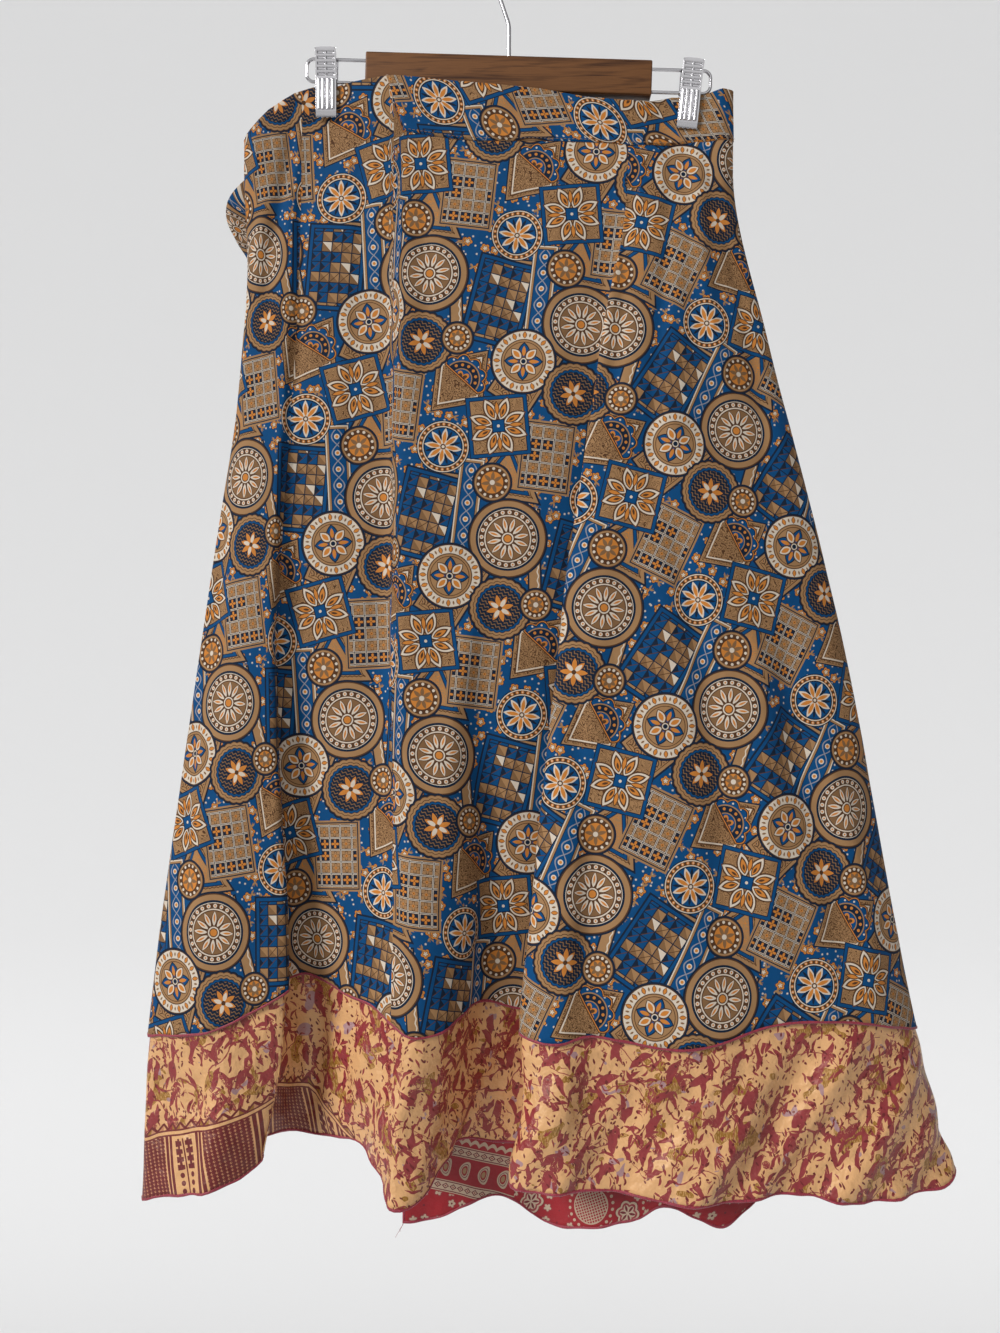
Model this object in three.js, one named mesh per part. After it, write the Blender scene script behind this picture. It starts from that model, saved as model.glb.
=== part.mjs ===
// A two-layer wrap skirt, hung flat from a short wooden clip hanger.
// Units are millimetres, +Z is up and the skirt's front faces -Y. The origin is the highest
// point inside the hanger's hook, where a rail carries it.
import * as THREE from "three";

// ---- driving dimensions ----------------------------------------------------------------

const OUTER_CLOTH = 1.4;              // printed crepe, with its turned and sewn edges
const UNDER_CLOTH = 1.2;              // satin
const BAND_CLOTH = 2.0;               // waistband, folded double
const TIE_CLOTH = 2.4;                // tie, folded double
const LAYER_STEP = 2.6;               // from the middle of one layer to the next
const SIDE_STEP = 1.7;                // the same where the layers turn together at a side
const SEAM_GAP = 0.4;                 // clearance where two pieces meet
const SIDE_GAP = 0.16;                // the same at the sides, as a share of a fold's span
const UNDER_SIDE_GAP = 0.3;

const HEIGHTS = [-190, -320, -560, -870, -1000];   // where each fold's across and depth stand
const CLIP_HEIGHT = -150;             // above this the cloth is as flat as the clips press it
const UNDER_TOP = -178;               // the under layer's hidden top edge
const CLOTH_ROWS = 11;                // down the outer layer, closer together near its top
const ROW_CROWDING = 1.25;
const FIRST_ROW = 8;                  // least height of the under layer's first row
const FLOUNCE_ROWS = 3;               // down the under layer's part below the outer hem
const FRONT_STEP = 20;                // about the length between two grid lines of the cloth
const BACK_STEP = 30;
const NEAR_END = 0.1;                 // no grid line stands closer to a cloth's end, in folds
const STEP_BACK = 0.001;              // a span is measured to just before its next fold

const BAND_ROWS = 3;                  // down the waistband
// The band's front end is cut on a slant: it starts a little past the fold there at its top, runs
// this much of a fold's span further at its foot, and is upright again some folds on.
const BAND_SLANT = { start: 0.12, run: 0.96, folds: 3 };
const TIE_STEPS = 24;

const BAR = { length: 231, height: 28, thickness: 13, chamfer: 1, middle: 0.5, top: -100.3 };
const BAR_TILT = THREE.MathUtils.degToRad(1.75);
const HOOK = { wire: 1.75, radius: 18, kink: -72.5, stem: 0.4, bend: 21, straight: 8, openEnd: -40 };
const LOOP = { wire: 1.4, reach: 49.5, upper: 4.6, lower: 23, corner: 6 };
const CLIP = {
  width: 16.6, height: 55, sheet: 1.1, edge: 0.5, flange: 3.6, turn: 0.5, spread: 9.5, relief: 0.7,
  corner: 1.5, waist: { z: -22, y: 6.5 }, lip: { height: 6, out: 2.2 },
};
// A jaw's grid: lozenges stand on every second line of the upper rows, flutes on the lower rows.
const JAW_COLUMNS = [-1, -0.75, -0.5, -0.25, 0, 0.25, 0.5, 0.75, 1];
const JAW_ROWS = [0, -1.5, -5, -8, -11, -14, -17, -20, -23, -26, -29, -50, -53.5, -55];
const LOZENGE_ROWS = [2, 4, 6, 8];
const LOZENGE_COLUMNS = [2, 3, 7, 8];
const FLUTE_ROWS = [10, 11];
const FLUTE_COLUMNS = [2, 4, 6, 8];
const FLANGE_ROWS = [2, 3, 4, 5, 6, 7, 8];
const SPRING = { inner: 1.8, outer: 2.9, length: 9 };

// ---- materials ---------------------------------------------------------------------------

const finish = (color, roughness, metalness = 0) =>
  new THREE.MeshStandardMaterial({ color, roughness, metalness });
const PRINTED_CREPE = finish(0x3d6a8a, 0.75);
const GOLD_SATIN = finish(0xd7a56e, 0.4);
const CRIMSON_CREPE = finish(0x8c1220, 0.55);
const WALNUT = finish(0x70492d, 0.5);
const CHROME = finish(0xd8d6dc, 0.18, 1);

// ---- the skirt's folds -------------------------------------------------------------------
// One row for each line that a fold's crest, trough or edge follows down the cloth, round the
// skirt from its left side over the front, to the right side and along the back.
// pinch is the depth beside the clips, across and depth are x and y at each of HEIGHTS, top is
// where the outer layer starts, band the waistband's upper edge, and the hems close the row.

const FRONT = [
  { name: "left_side", pinch: 1, across: [-214, -213, -247, -289, -296], depth: [1, 2, 0, -3, -5],
    top: -166, band: -166, hem: -889, underHem: -1020 },
  { name: "left_round", pinch: -4, across: [-205, -204, -237, -278, -284],
    depth: [-5, -6, -9, -13, -16], top: -155, hem: -887, underHem: -1016 },
  { name: "left_ridge", pinch: -3.5, across: [-194, -194, -216, -235, -237],
    depth: [-6, -10, -20, -32, -40], top: -143, hem: -879, underHem: -1001 },
  { name: "left_shelf", pinch: -3, across: [-181, -183, -198, -200, -210],
    depth: [-6, -12, -24, -30, -34], top: -134, hem: -863, underHem: -992 },
  { name: "left_lip", pinch: -2.5, across: [-173, -176, -186, -174, -191],
    depth: [-6, -12, -24, -26, -26], top: -129, hem: -848, underHem: -979 },
  { name: "left_lip_back", pinch: -2.2, across: [-167, -170, -184, -180, -200],
    depth: [-5, -10, -13, -9, -2], top: -127, hem: -845, underHem: -972 },
  { name: "left_hollow", pinch: -1.8, across: [-158, -160, -172, -165, -164],
    depth: [-4, -10, -10, 8, 18], top: -124, hem: -843, underHem: -978 },
  { name: "left_hollow_end", pinch: -2, across: [-141, -145, -155, -147, -140],
    depth: [-6, -11, -12, 0, 9], top: -124, hem: -848, underHem: -976 },
  { name: "middle_rise", pinch: -6, across: [-127, -132, -140, -130, -122],
    depth: [-8, -12, -14, -9, -5], top: -122, hem: -856, underHem: -974 },
  { name: "middle_step", pinch: -10, across: [-100, -99, -99, -106, -111],
    depth: [-11, -12, -14, -28, -34], top: -119, band: -119, hem: -861, underHem: -982 },
  { name: "middle_ridge", pinch: -10.5, across: [-84, -85, -86, -76, -94],
    depth: [-12, -20, -26, -52, -62], top: -164, band: -120, hem: -876, underHem: -1003 },
  { name: "middle_ridge_end", pinch: -10.5, across: [-60, -62, -63, -51, -68],
    depth: [-12, -20, -27, -46, -52], top: -168, band: -122, hem: -874, underHem: -1002 },
  { name: "middle_flank", pinch: -10.5, across: [-40, -42, -38, -34, -54],
    depth: [-12, -19, -25, -28, -24], top: -171, band: -124, hem: -864, underHem: -980 },
  { name: "middle_hollow", pinch: -10.5, across: [-18, -20, -21, -20, -36],
    depth: [-12, -19, -22, -7, 1], top: -172, band: -126, hem: -861, underHem: -977 },
  { name: "middle_hollow_floor", pinch: -10.5, across: [25, 25, 9, -2, -13],
    depth: [-12, -20, -22, -4, 4], top: -172, band: -130, hem: -866, underHem: -980 },
  { name: "middle_hollow_end", pinch: -10, across: [60, 52, 31, 12, 3],
    depth: [-12, -19, -20, -3, 5], top: -173, band: -136, hem: -869, underHem: -981 },
  { name: "panel_lip_back", pinch: -8.5, across: [88, 77, 53, 25, 19],
    depth: [-12, -17, -17, -5, 1], top: -174, band: -138, hem: -871, underHem: -981 },
  { name: "panel_lip", pinch: -7.5, across: [99, 76, 41, 9, 3],
    depth: [-12, -24, -34, -46, -50], top: -175, band: -138, hem: -876, underHem: -991 },
  { name: "panel_crest", pinch: -5.5, across: [113, 94, 64, 38, 38],
    depth: [-11, -25, -41, -60, -66], top: -174, band: -138, hem: -879, underHem: -992 },
  { name: "panel_dip", pinch: -3.6, across: [122, 108, 88, 63, 72],
    depth: [-10, -25, -38, -53, -58], top: -174, band: -136, hem: -875, underHem: -992 },
  { name: "panel_broad", pinch: -2.2, across: [132, 127, 127, 137, 149],
    depth: [-8, -24, -38, -57, -65], top: -173, band: -133, hem: -884, underHem: -999 },
  { name: "flare_dip", pinch: -1.7, across: [148, 147, 168, 211, 221],
    depth: [-6, -18, -32, -42, -46], top: -170, band: -133, hem: -869, underHem: -1000 },
  { name: "flare_crest", pinch: -1.8, across: [161, 167, 201, 267, 276],
    depth: [-5, -13, -24, -36, -42], top: -169, band: -130, hem: -870, underHem: -1009 },
  { name: "right_round", pinch: -2.8, across: [173, 199, 255, 313, 347],
    depth: [-5, -6, -9, -14, -16], top: -167, band: -126, hem: -881, underHem: -1008 },
  { name: "right_side", pinch: 1.2, across: [182, 209, 269, 328, 363], depth: [2, 3, 3, 2, 0],
    top: -167, band: -126, hem: -885, underHem: -998 },
];

const BACK = [
  { name: "back_right_round", pinch: 5.2, across: [174, 200, 257, 314, 348],
    depth: [8, 10, 14, 17, 17], top: -170, band: -128, hem: -882, underHem: -992 },
  { name: "back_clip_right", pinch: 2.3, across: [160, 180, 237, 287, 314],
    depth: [9, 14, 24, 32, 36], top: -171, band: -130, hem: -880, underHem: -987 },
  { name: "back_ridge_1", pinch: 2, across: [133, 152, 205, 250, 272],
    depth: [10, 17, 30, 40, 44], top: -172, band: -132, hem: -878, underHem: -984 },
  { name: "back_hollow_1", pinch: 6.5, across: [100, 112, 150, 193, 213],
    depth: [11, 15, 20, 24, 23], top: -174, band: -136, hem: -872, underHem: -980 },
  { name: "back_ridge_2", pinch: 10, across: [55, 62, 92, 120, 132],
    depth: [12, 20, 34, 42, 46], top: -174, band: -135, hem: -876, underHem: -984 },
  { name: "back_hollow_2", pinch: 10.5, across: [10, 12, 25, 45, 58],
    depth: [12, 18, 24, 24, 23], top: -172, band: -130, hem: -870, underHem: -978 },
  { name: "back_ridge_3", pinch: 10.5, across: [-35, -35, -40, -32, -30],
    depth: [12, 20, 33, 44, 48], top: -171, band: -127, hem: -874, underHem: -982 },
  { name: "back_hollow_3", pinch: 10.5, across: [-75, -80, -95, -102, -104],
    depth: [12, 18, 24, 26, 25], top: -171, band: -125, hem: -868, underHem: -977 },
  { name: "back_ridge_4", pinch: 9, across: [-115, -125, -145, -165, -172],
    depth: [11, 18, 32, 40, 44], top: -172, band: -124, hem: -872, underHem: -980 },
  { name: "back_clip_left", pinch: 2, across: [-136, -145, -168, -190, -200],
    depth: [9.5, 15.5, 26, 34, 36], top: -173, band: -127, hem: -872, underHem: -981 },
  { name: "back_hollow_4", pinch: 1.8, across: [-159, -166, -190, -217, -230],
    depth: [9, 14, 22, 28, 28], top: -174, band: -130, hem: -872, underHem: -982 },
  { name: "back_left_round", pinch: 6, across: [-203, -202, -234, -275, -282],
    depth: [8, 10, 12, 13, 12], top: -177, band: -152, hem: -880, underHem: -1000 },
];

const RING = [...FRONT, ...BACK];
const place = (name) => RING.findIndex((fold) => fold.name === name);
const RIGHT_SIDE = place("right_side");
const LEFT_SIDE = RING.length;        // once round, back at the left side
const BACK_END = place("back_left_round") - 0.5;
const OVERLAP_EDGE = place("back_ridge_4");

// The wrap's inner end hangs free behind the front panel, longest at its loose corner.
const INNER_HEIGHTS = [-178, -320, -560, -870, -1000];
const INNER_END = [
  { name: "loose_edge", across: [-62, -66, -74, -84, -86], depth: [-3, -6, -9, 3, 10], hem: -1049 },
  { name: "loose_corner", across: [-40, -42, -48, -56, -58], depth: [-4, -8, -10, 2, 11], hem: -1046 },
  { name: "hollow", across: [-10, -12, -15, -19, -20], depth: [-4, -9, -11, 3, 10], hem: -1029 },
  { name: "hollow_end", across: [20, 18, 10, 5, 4], depth: [-4, -9, -10, 4, 10], hem: -1029 },
  { name: "first_wave", across: [43, 43, 38, 32, 30], depth: [-4, -8, -8, 5, 9], hem: -1048 },
  { name: "rise", across: [60, 62, 66, 66, 66], depth: [-4, -8, -14, -8, -10], hem: -1042 },
  { name: "panel", across: [74, 82, 95, 102, 104], depth: [-3.5, -8, -18, -18, -20], hem: -1029 },
  { name: "panel_notch", across: [82, 94, 112, 120, 122], depth: [-3, -8, -19, -24, -24], hem: -1018 },
  { name: "second_wave", across: [90, 108, 134, 146, 148], depth: [-3, -7, -18, -25, -26], hem: -1027 },
  { name: "wave_crest", across: [97, 120, 150, 165, 168], depth: [-2.5, -6, -16, -24, -25], hem: -1034 },
  { name: "wave_end", across: [104, 130, 165, 183, 187], depth: [-2, -5, -13, -20, -22], hem: -1022 },
  { name: "inner_side", across: [110, 138, 180, 201, 206], depth: [-1.5, -3, -9, -15, -18], hem: -1008 },
];

// The tie's middle line behind the left side: out of the waistband's end, round its loop and
// down to the tail. width is its full width there, which the crease of the loop narrows.
const TIE = [
  { x: -122, y: 19.2, z: -173, width: 34 },
  { x: -150, y: 18.4, z: -174, width: 34 },
  { x: -176, y: 18, z: -180, width: 34 },
  { x: -197, y: 18, z: -195, width: 33 },
  { x: -213, y: 18, z: -215, width: 39 },
  { x: -209, y: 18, z: -232, width: 36 },
  { x: -199, y: 19, z: -252, width: 34 },
  { x: -194, y: 20.6, z: -285, width: 34 },
  { x: -198, y: 21.8, z: -331, width: 34 },
];

// ---- curves and walls --------------------------------------------------------------------

// A smooth value at height z, level above the first height and straight below the last.
function alongHeight(heights, values, z) {
  const last = heights.length - 1;
  const slope = (i) => {
    if (i === 0) return 0;
    const next = Math.min(i + 1, last);
    return (values[next] - values[i - 1]) / (heights[next] - heights[i - 1]);
  };
  if (z >= heights[0]) return values[0];
  if (z <= heights[last]) return values[last] + slope(last) * (z - heights[last]);
  const i = heights.findIndex((height, k) => k < last && z >= heights[k + 1]);
  const span = heights[i + 1] - heights[i];
  const t = (z - heights[i]) / span;
  const rise = t * t * (3 - 2 * t);
  const leave = t * (1 - t) * (1 - t) * span * slope(i);
  const arrive = t * t * (t - 1) * span * slope(i + 1);
  return values[i] + (values[i + 1] - values[i]) * rise + leave + arrive;
}

// Where a fold line stands at height z.
function foldPoint(fold, z, heights = HEIGHTS) {
  const pinched = fold.pinch !== undefined;
  const depthHeights = pinched ? [CLIP_HEIGHT, ...heights] : heights;
  const depths = pinched ? [fold.pinch, ...fold.depth] : fold.depth;
  const x = alongHeight(heights, fold.across, z);
  return new THREE.Vector3(x, alongHeight(depthHeights, depths, z), z);
}

// The folds before, at and after a place along the cloth; a ring runs on past its ends.
function neighbours(folds, i, closed) {
  return [-1, 0, 1, 2].map((k) => {
    if (closed) return folds[(i + k + folds.length) % folds.length];
    return folds[THREE.MathUtils.clamp(i + k, 0, folds.length - 1)];
  });
}

// The cloth's middle at place s along its folds and height z, moved out by offset. Its outside
// is on the right of the way along, which is -Y on the front.
function clothPoint(sheet, s, z, offset) {
  const i = Math.min(Math.floor(s), sheet.closed ? sheet.folds.length - 1 : sheet.folds.length - 2);
  const points = neighbours(sheet.folds, i, sheet.closed).map((f) => foldPoint(f, z, sheet.heights));
  if (!sheet.closed && i === 0) points[0].multiplyScalar(2).sub(points[2]);
  if (!sheet.closed && i === sheet.folds.length - 2) points[3].multiplyScalar(2).sub(points[1]);
  const curve = new THREE.CatmullRomCurve3(points, false, "centripetal");
  const t = (1 + s - i) / 3;
  const nudge = 0.004;
  const way = curve.getPoint(t + nudge).sub(curve.getPoint(t - nudge));
  const out = new THREE.Vector3(way.y, -way.x, 0).normalize();
  return curve.getPoint(t).addScaledVector(out, offset).setZ(z);
}

// A row's value at place s: straight between two folds, or smooth as a hem is.
function rowValue(sheet, key, s, smooth) {
  const i = Math.min(Math.floor(s), sheet.closed ? sheet.folds.length - 1 : sheet.folds.length - 2);
  const t = s - i;
  const [before, from, to, after] = neighbours(sheet.folds, i, sheet.closed).map((f) => f[key]);
  if (!smooth) return from + (to - from) * t;
  const square = t * t;
  const cube = square * t;
  return 0.5 * (2 * from + (to - before) * t + (2 * before - 5 * from + 4 * to - after) * square
    + (3 * from - before - 3 * to + after) * cube);
}

// Places along the cloth from start to end, each fold's span cut into equal steps.
function places(sheet, start, end) {
  const list = [start];
  for (let i = Math.floor(start); i < end; i += 1) {
    const low = HEIGHTS[HEIGHTS.length - 1];
    const next = i + 1 - STEP_BACK;
    const span = clothPoint(sheet, i, low, 0).distanceTo(clothPoint(sheet, next, low, 0));
    const step = sheet.closed && i >= RIGHT_SIDE ? BACK_STEP : FRONT_STEP;
    const steps = Math.max(2, Math.round(span / step));
    for (let k = 0; k < steps; k += 1) {
      const s = i + k / steps;
      if (s > start + NEAR_END && s < end - NEAR_END) list.push(s);
    }
  }
  list.push(end);
  return list;
}

// One closed wall from two matching grids of points, its outer and its inner face.
function wallGeometry(outer, inner) {
  const rows = outer.length;
  const columns = outer[0].length;
  const points = [...outer.flat(), ...inner.flat()];
  const at = (side, r, c) => side * rows * columns + r * columns + c;
  const index = [];
  const quad = (a, b, c, d) => index.push(a, b, c, a, c, d);
  for (let r = 0; r < rows - 1; r += 1) {
    for (let c = 0; c < columns - 1; c += 1) {
      quad(at(0, r, c), at(0, r + 1, c), at(0, r + 1, c + 1), at(0, r, c + 1));
      quad(at(1, r, c), at(1, r, c + 1), at(1, r + 1, c + 1), at(1, r + 1, c));
    }
  }
  for (let r = 0; r < rows - 1; r += 1) {
    quad(at(0, r, 0), at(1, r, 0), at(1, r + 1, 0), at(0, r + 1, 0));
    quad(at(0, r, columns - 1), at(0, r + 1, columns - 1), at(1, r + 1, columns - 1),
      at(1, r, columns - 1));
  }
  for (let c = 0; c < columns - 1; c += 1) {
    quad(at(0, 0, c), at(0, 0, c + 1), at(1, 0, c + 1), at(1, 0, c));
    quad(at(0, rows - 1, c), at(1, rows - 1, c), at(1, rows - 1, c + 1), at(0, rows - 1, c + 1));
  }
  const geometry = new THREE.BufferGeometry();
  geometry.setFromPoints(points);
  geometry.setIndex(index);
  geometry.computeVertexNormals();
  return geometry;
}

// Heights from top to hem in equal rows, or with the upper ones closer where crowding is over 1.
function rowHeights(top, hem, rows, crowding = 1) {
  return Array.from({ length: rows + 1 }, (unused, r) => top + (hem - top) * (r / rows) ** crowding);
}

// A cloth wall between two places. heights gives the heights of its rows at a place along it,
// and shift how far it stands out there from the folds' own surface.
function clothWall(sheet, { start, end, heights, thickness, shift = () => 0 }) {
  const line = places(sheet, start, end);
  const face = (side) => {
    const columns = line.map((s) => heights(s).map((z) =>
      clothPoint(sheet, s, z, shift(s) + side * thickness / 2)));
    return columns[0].map((unused, r) => columns.map((column) => column[r]));
  };
  return wallGeometry(face(1), face(-1));
}

function named(name, geometry, material) {
  const mesh = new THREE.Mesh(geometry, material);
  mesh.name = name;
  return mesh;
}

// ---- the skirt ---------------------------------------------------------------------------

const SKIRT = { folds: RING, closed: true, heights: HEIGHTS };
const LINER = { folds: INNER_END, closed: false, heights: INNER_HEIGHTS };
const outerTop = (s) => rowValue(SKIRT, "top", s, false);
const outerHem = (s) => rowValue(SKIRT, "hem", s, true);
const underHem = (s) => rowValue(SKIRT, "underHem", s, true);

const smoothShare = (t) => {
  const share = THREE.MathUtils.clamp(t, 0, 1);
  return share * share * (3 - 2 * share);
};

// The layers lie closer together where they turn at a side.
function layerStep(s) {
  const away = Math.min(s, Math.abs(s - RIGHT_SIDE), LEFT_SIDE - s);
  return SIDE_STEP + (LAYER_STEP - SIDE_STEP) * smoothShare(away - 0.5);
}

// Each layer of the overlap lifts over the back's own end, from nothing at the left side.
const overlapLift = (s) => 2 * LAYER_STEP * smoothShare(LEFT_SIDE - s);

const outerRows = (s) => rowHeights(outerTop(s), outerHem(s), CLOTH_ROWS, ROW_CROWDING);

// The under layer's rows follow the outer layer's, and go on below its hem.
function underRows(s) {
  const flounce = rowHeights(outerHem(s), underHem(s), FLOUNCE_ROWS);
  const hidden = outerRows(s).slice(1).map((z) => Math.min(z, UNDER_TOP - FIRST_ROW));
  return [UNDER_TOP, ...hidden, ...flounce.slice(1)];
}

function makeOuterLayer() {
  const cloth = { heights: outerRows, thickness: OUTER_CLOTH };
  const front = { ...cloth, start: SIDE_GAP, end: RIGHT_SIDE - SIDE_GAP };
  const back = { ...cloth, start: RIGHT_SIDE + SIDE_GAP, end: BACK_END };
  const overlap = { ...cloth, start: OVERLAP_EDGE, end: LEFT_SIDE - SIDE_GAP, shift: overlapLift };
  return [
    named("outer_front", clothWall(SKIRT, front), PRINTED_CREPE),
    named("outer_back", clothWall(SKIRT, back), PRINTED_CREPE),
    named("overlap_outer", clothWall(SKIRT, overlap), PRINTED_CREPE),
  ];
}

function makeUnderLayer() {
  const cloth = { heights: underRows, thickness: UNDER_CLOTH, shift: (s) => -layerStep(s) };
  const front = { ...cloth, start: UNDER_SIDE_GAP, end: RIGHT_SIDE - UNDER_SIDE_GAP };
  const back = { ...cloth, start: RIGHT_SIDE + UNDER_SIDE_GAP, end: BACK_END };
  const shift = (s) => overlapLift(s) - layerStep(s);
  const overlap = { ...cloth, start: OVERLAP_EDGE, end: LEFT_SIDE - UNDER_SIDE_GAP, shift };
  return [
    named("under_front", clothWall(SKIRT, front), GOLD_SATIN),
    named("under_back", clothWall(SKIRT, back), GOLD_SATIN),
    named("overlap_under", clothWall(SKIRT, overlap), GOLD_SATIN),
  ];
}

function makeInnerEnd() {
  const hem = (s) => rowValue(LINER, "hem", s, true);
  const heights = (s) => rowHeights(INNER_HEIGHTS[0], hem(s), CLOTH_ROWS);
  const cloth = { start: 0, end: INNER_END.length - 1, heights, thickness: UNDER_CLOTH };
  return [named("inner_end", clothWall(LINER, cloth), CRIMSON_CREPE)];
}

// The front's waistband starts at the slanted edge of the cloth that is drawn up to the left
// clip. Its grid lines run from that edge's slant to upright at the right side.
function makeWaistband() {
  const first = place("middle_step");
  const bandTop = (s) => rowValue(SKIRT, "band", s, false);
  const bandFoot = (s) => outerTop(s) + SEAM_GAP;
  const line = places(SKIRT, first, RIGHT_SIDE - SIDE_GAP);
  const face = (side) => {
    const grid = [];
    for (let r = 0; r <= BAND_ROWS; r += 1) {
      const down = r / BAND_ROWS;
      grid.push(line.map((s) => {
        const slant = THREE.MathUtils.clamp(1 - (s - first) / BAND_SLANT.folds, 0, 1);
        const at = s + slant * (BAND_SLANT.start + BAND_SLANT.run * down);
        const foot = at < first + 1 ? bandFoot(first + 1) : bandFoot(at);
        const z = bandTop(at) + (foot - bandTop(at)) * down;
        return clothPoint(SKIRT, at, z, side * BAND_CLOTH / 2);
      }));
    }
    return grid;
  };
  const heights = (s) => rowHeights(bandTop(s), bandFoot(s), BAND_ROWS);
  const band = { heights, thickness: BAND_CLOTH };
  const back = { ...band, start: RIGHT_SIDE + SIDE_GAP, end: BACK_END };
  const lift = (s) => overlapLift(s) / 2;
  const tab = { ...band, start: OVERLAP_EDGE, end: LEFT_SIDE - SIDE_GAP, shift: lift };
  return [
    named("waistband_front", wallGeometry(face(1), face(-1)), PRINTED_CREPE),
    named("waistband_back", clothWall(SKIRT, back), PRINTED_CREPE),
    named("waistband_end", clothWall(SKIRT, tab), PRINTED_CREPE),
  ];
}

function makeTie() {
  const middle = new THREE.CatmullRomCurve3(TIE.map((p) => new THREE.Vector3(p.x, p.y, p.z)));
  const face = (side) => {
    const edges = [[], []];
    for (let k = 0; k <= TIE_STEPS; k += 1) {
      const t = k / TIE_STEPS;
      const at = t * (TIE.length - 1);
      const i = Math.min(Math.floor(at), TIE.length - 2);
      const half = THREE.MathUtils.lerp(TIE[i].width, TIE[i + 1].width, at - i) / 2;
      const way = middle.getTangent(t).setY(0).normalize();
      const across = new THREE.Vector3(way.z, 0, -way.x);
      edges.forEach((edge, e) => {
        const point = middle.getPoint(t).addScaledVector(across, (e === 0 ? 1 : -1) * half);
        point.y += side * TIE_CLOTH / 2;
        edge.push(point);
      });
    }
    return edges;
  };
  return [named("tie", wallGeometry(face(1), face(-1)), PRINTED_CREPE)];
}

// ---- the hanger --------------------------------------------------------------------------

// A round wire along a list of points, its ends square.
function wireGeometry(points, radius, steps) {
  const section = new THREE.Shape();
  section.absarc(0, 0, radius, 0, 2 * Math.PI);
  const path = new THREE.CatmullRomCurve3(points, false, "centripetal");
  return new THREE.ExtrudeGeometry(section, {
    steps,
    curveSegments: 5,
    bevelEnabled: false,
    extrudePath: path,
  });
}

// Points on a circle's arc in the XZ plane.
function arcPoints(x, z, radius, from, to, count) {
  return Array.from({ length: count + 1 }, (unused, k) => {
    const angle = THREE.MathUtils.degToRad(from + (to - from) * (k / count));
    return new THREE.Vector3(x + radius * Math.cos(angle), 0, z + radius * Math.sin(angle));
  });
}

function makeHook() {
  const centre = -HOOK.radius + HOOK.wire;
  const lean = THREE.MathUtils.radToDeg(Math.asin(HOOK.radius / (centre - HOOK.kink)));
  const points = [
    new THREE.Vector3(HOOK.stem, 0, BAR.top + SEAM_GAP),
    new THREE.Vector3(HOOK.stem, 0, HOOK.kink - HOOK.bend / 3 - HOOK.straight),
    ...arcPoints(HOOK.stem - HOOK.bend, HOOK.kink - HOOK.bend / 6, HOOK.bend, 0, lean, 3),
    ...arcPoints(0, centre, HOOK.radius, 180 + lean, HOOK.openEnd, 16),
  ];
  return named("hook", wireGeometry(points, HOOK.wire, 36), CHROME);
}

function makeBar() {
  const half = { y: BAR.thickness / 2, z: BAR.height / 2 };
  const section = new THREE.Shape([
    new THREE.Vector2(-half.z, -half.y),
    new THREE.Vector2(half.z, -half.y),
    new THREE.Vector2(half.z, half.y),
    new THREE.Vector2(-half.z, half.y),
  ]);
  const geometry = new THREE.ExtrudeGeometry(section, {
    depth: BAR.length - 2 * BAR.chamfer,
    bevelSize: BAR.chamfer,
    bevelOffset: -BAR.chamfer,
    bevelThickness: BAR.chamfer,
    bevelSegments: 2,
  });
  geometry.translate(0, 0, -BAR.length / 2 + BAR.chamfer);
  geometry.rotateY(Math.PI / 2);
  const bar = named("wood_bar", geometry, WALNUT);
  bar.position.z = -BAR.height / 2;
  return bar;
}

// A loop of wire out of one end of the bar; side is -1 on the left and 1 on the right.
function makeLoop(name, side) {
  const start = BAR.length / 2 + SEAM_GAP;
  const far = BAR.length / 2 + LOOP.reach - LOOP.wire;
  const { upper, lower, corner } = LOOP;
  const points = [
    new THREE.Vector3(start, 0, -upper),
    new THREE.Vector3((start + far) / 2, 0, -upper),
    ...arcPoints(far - corner, -upper - corner, corner, 90, 0, 4),
    ...arcPoints(far - corner, -lower + corner, corner, 0, -90, 4),
    new THREE.Vector3((start + far) / 2, 0, -lower),
    new THREE.Vector3(start, 0, -lower),
  ];
  points.forEach((point) => point.setX(point.x * side));
  return named(name, wireGeometry(points, LOOP.wire, 22), CHROME);
}

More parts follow.
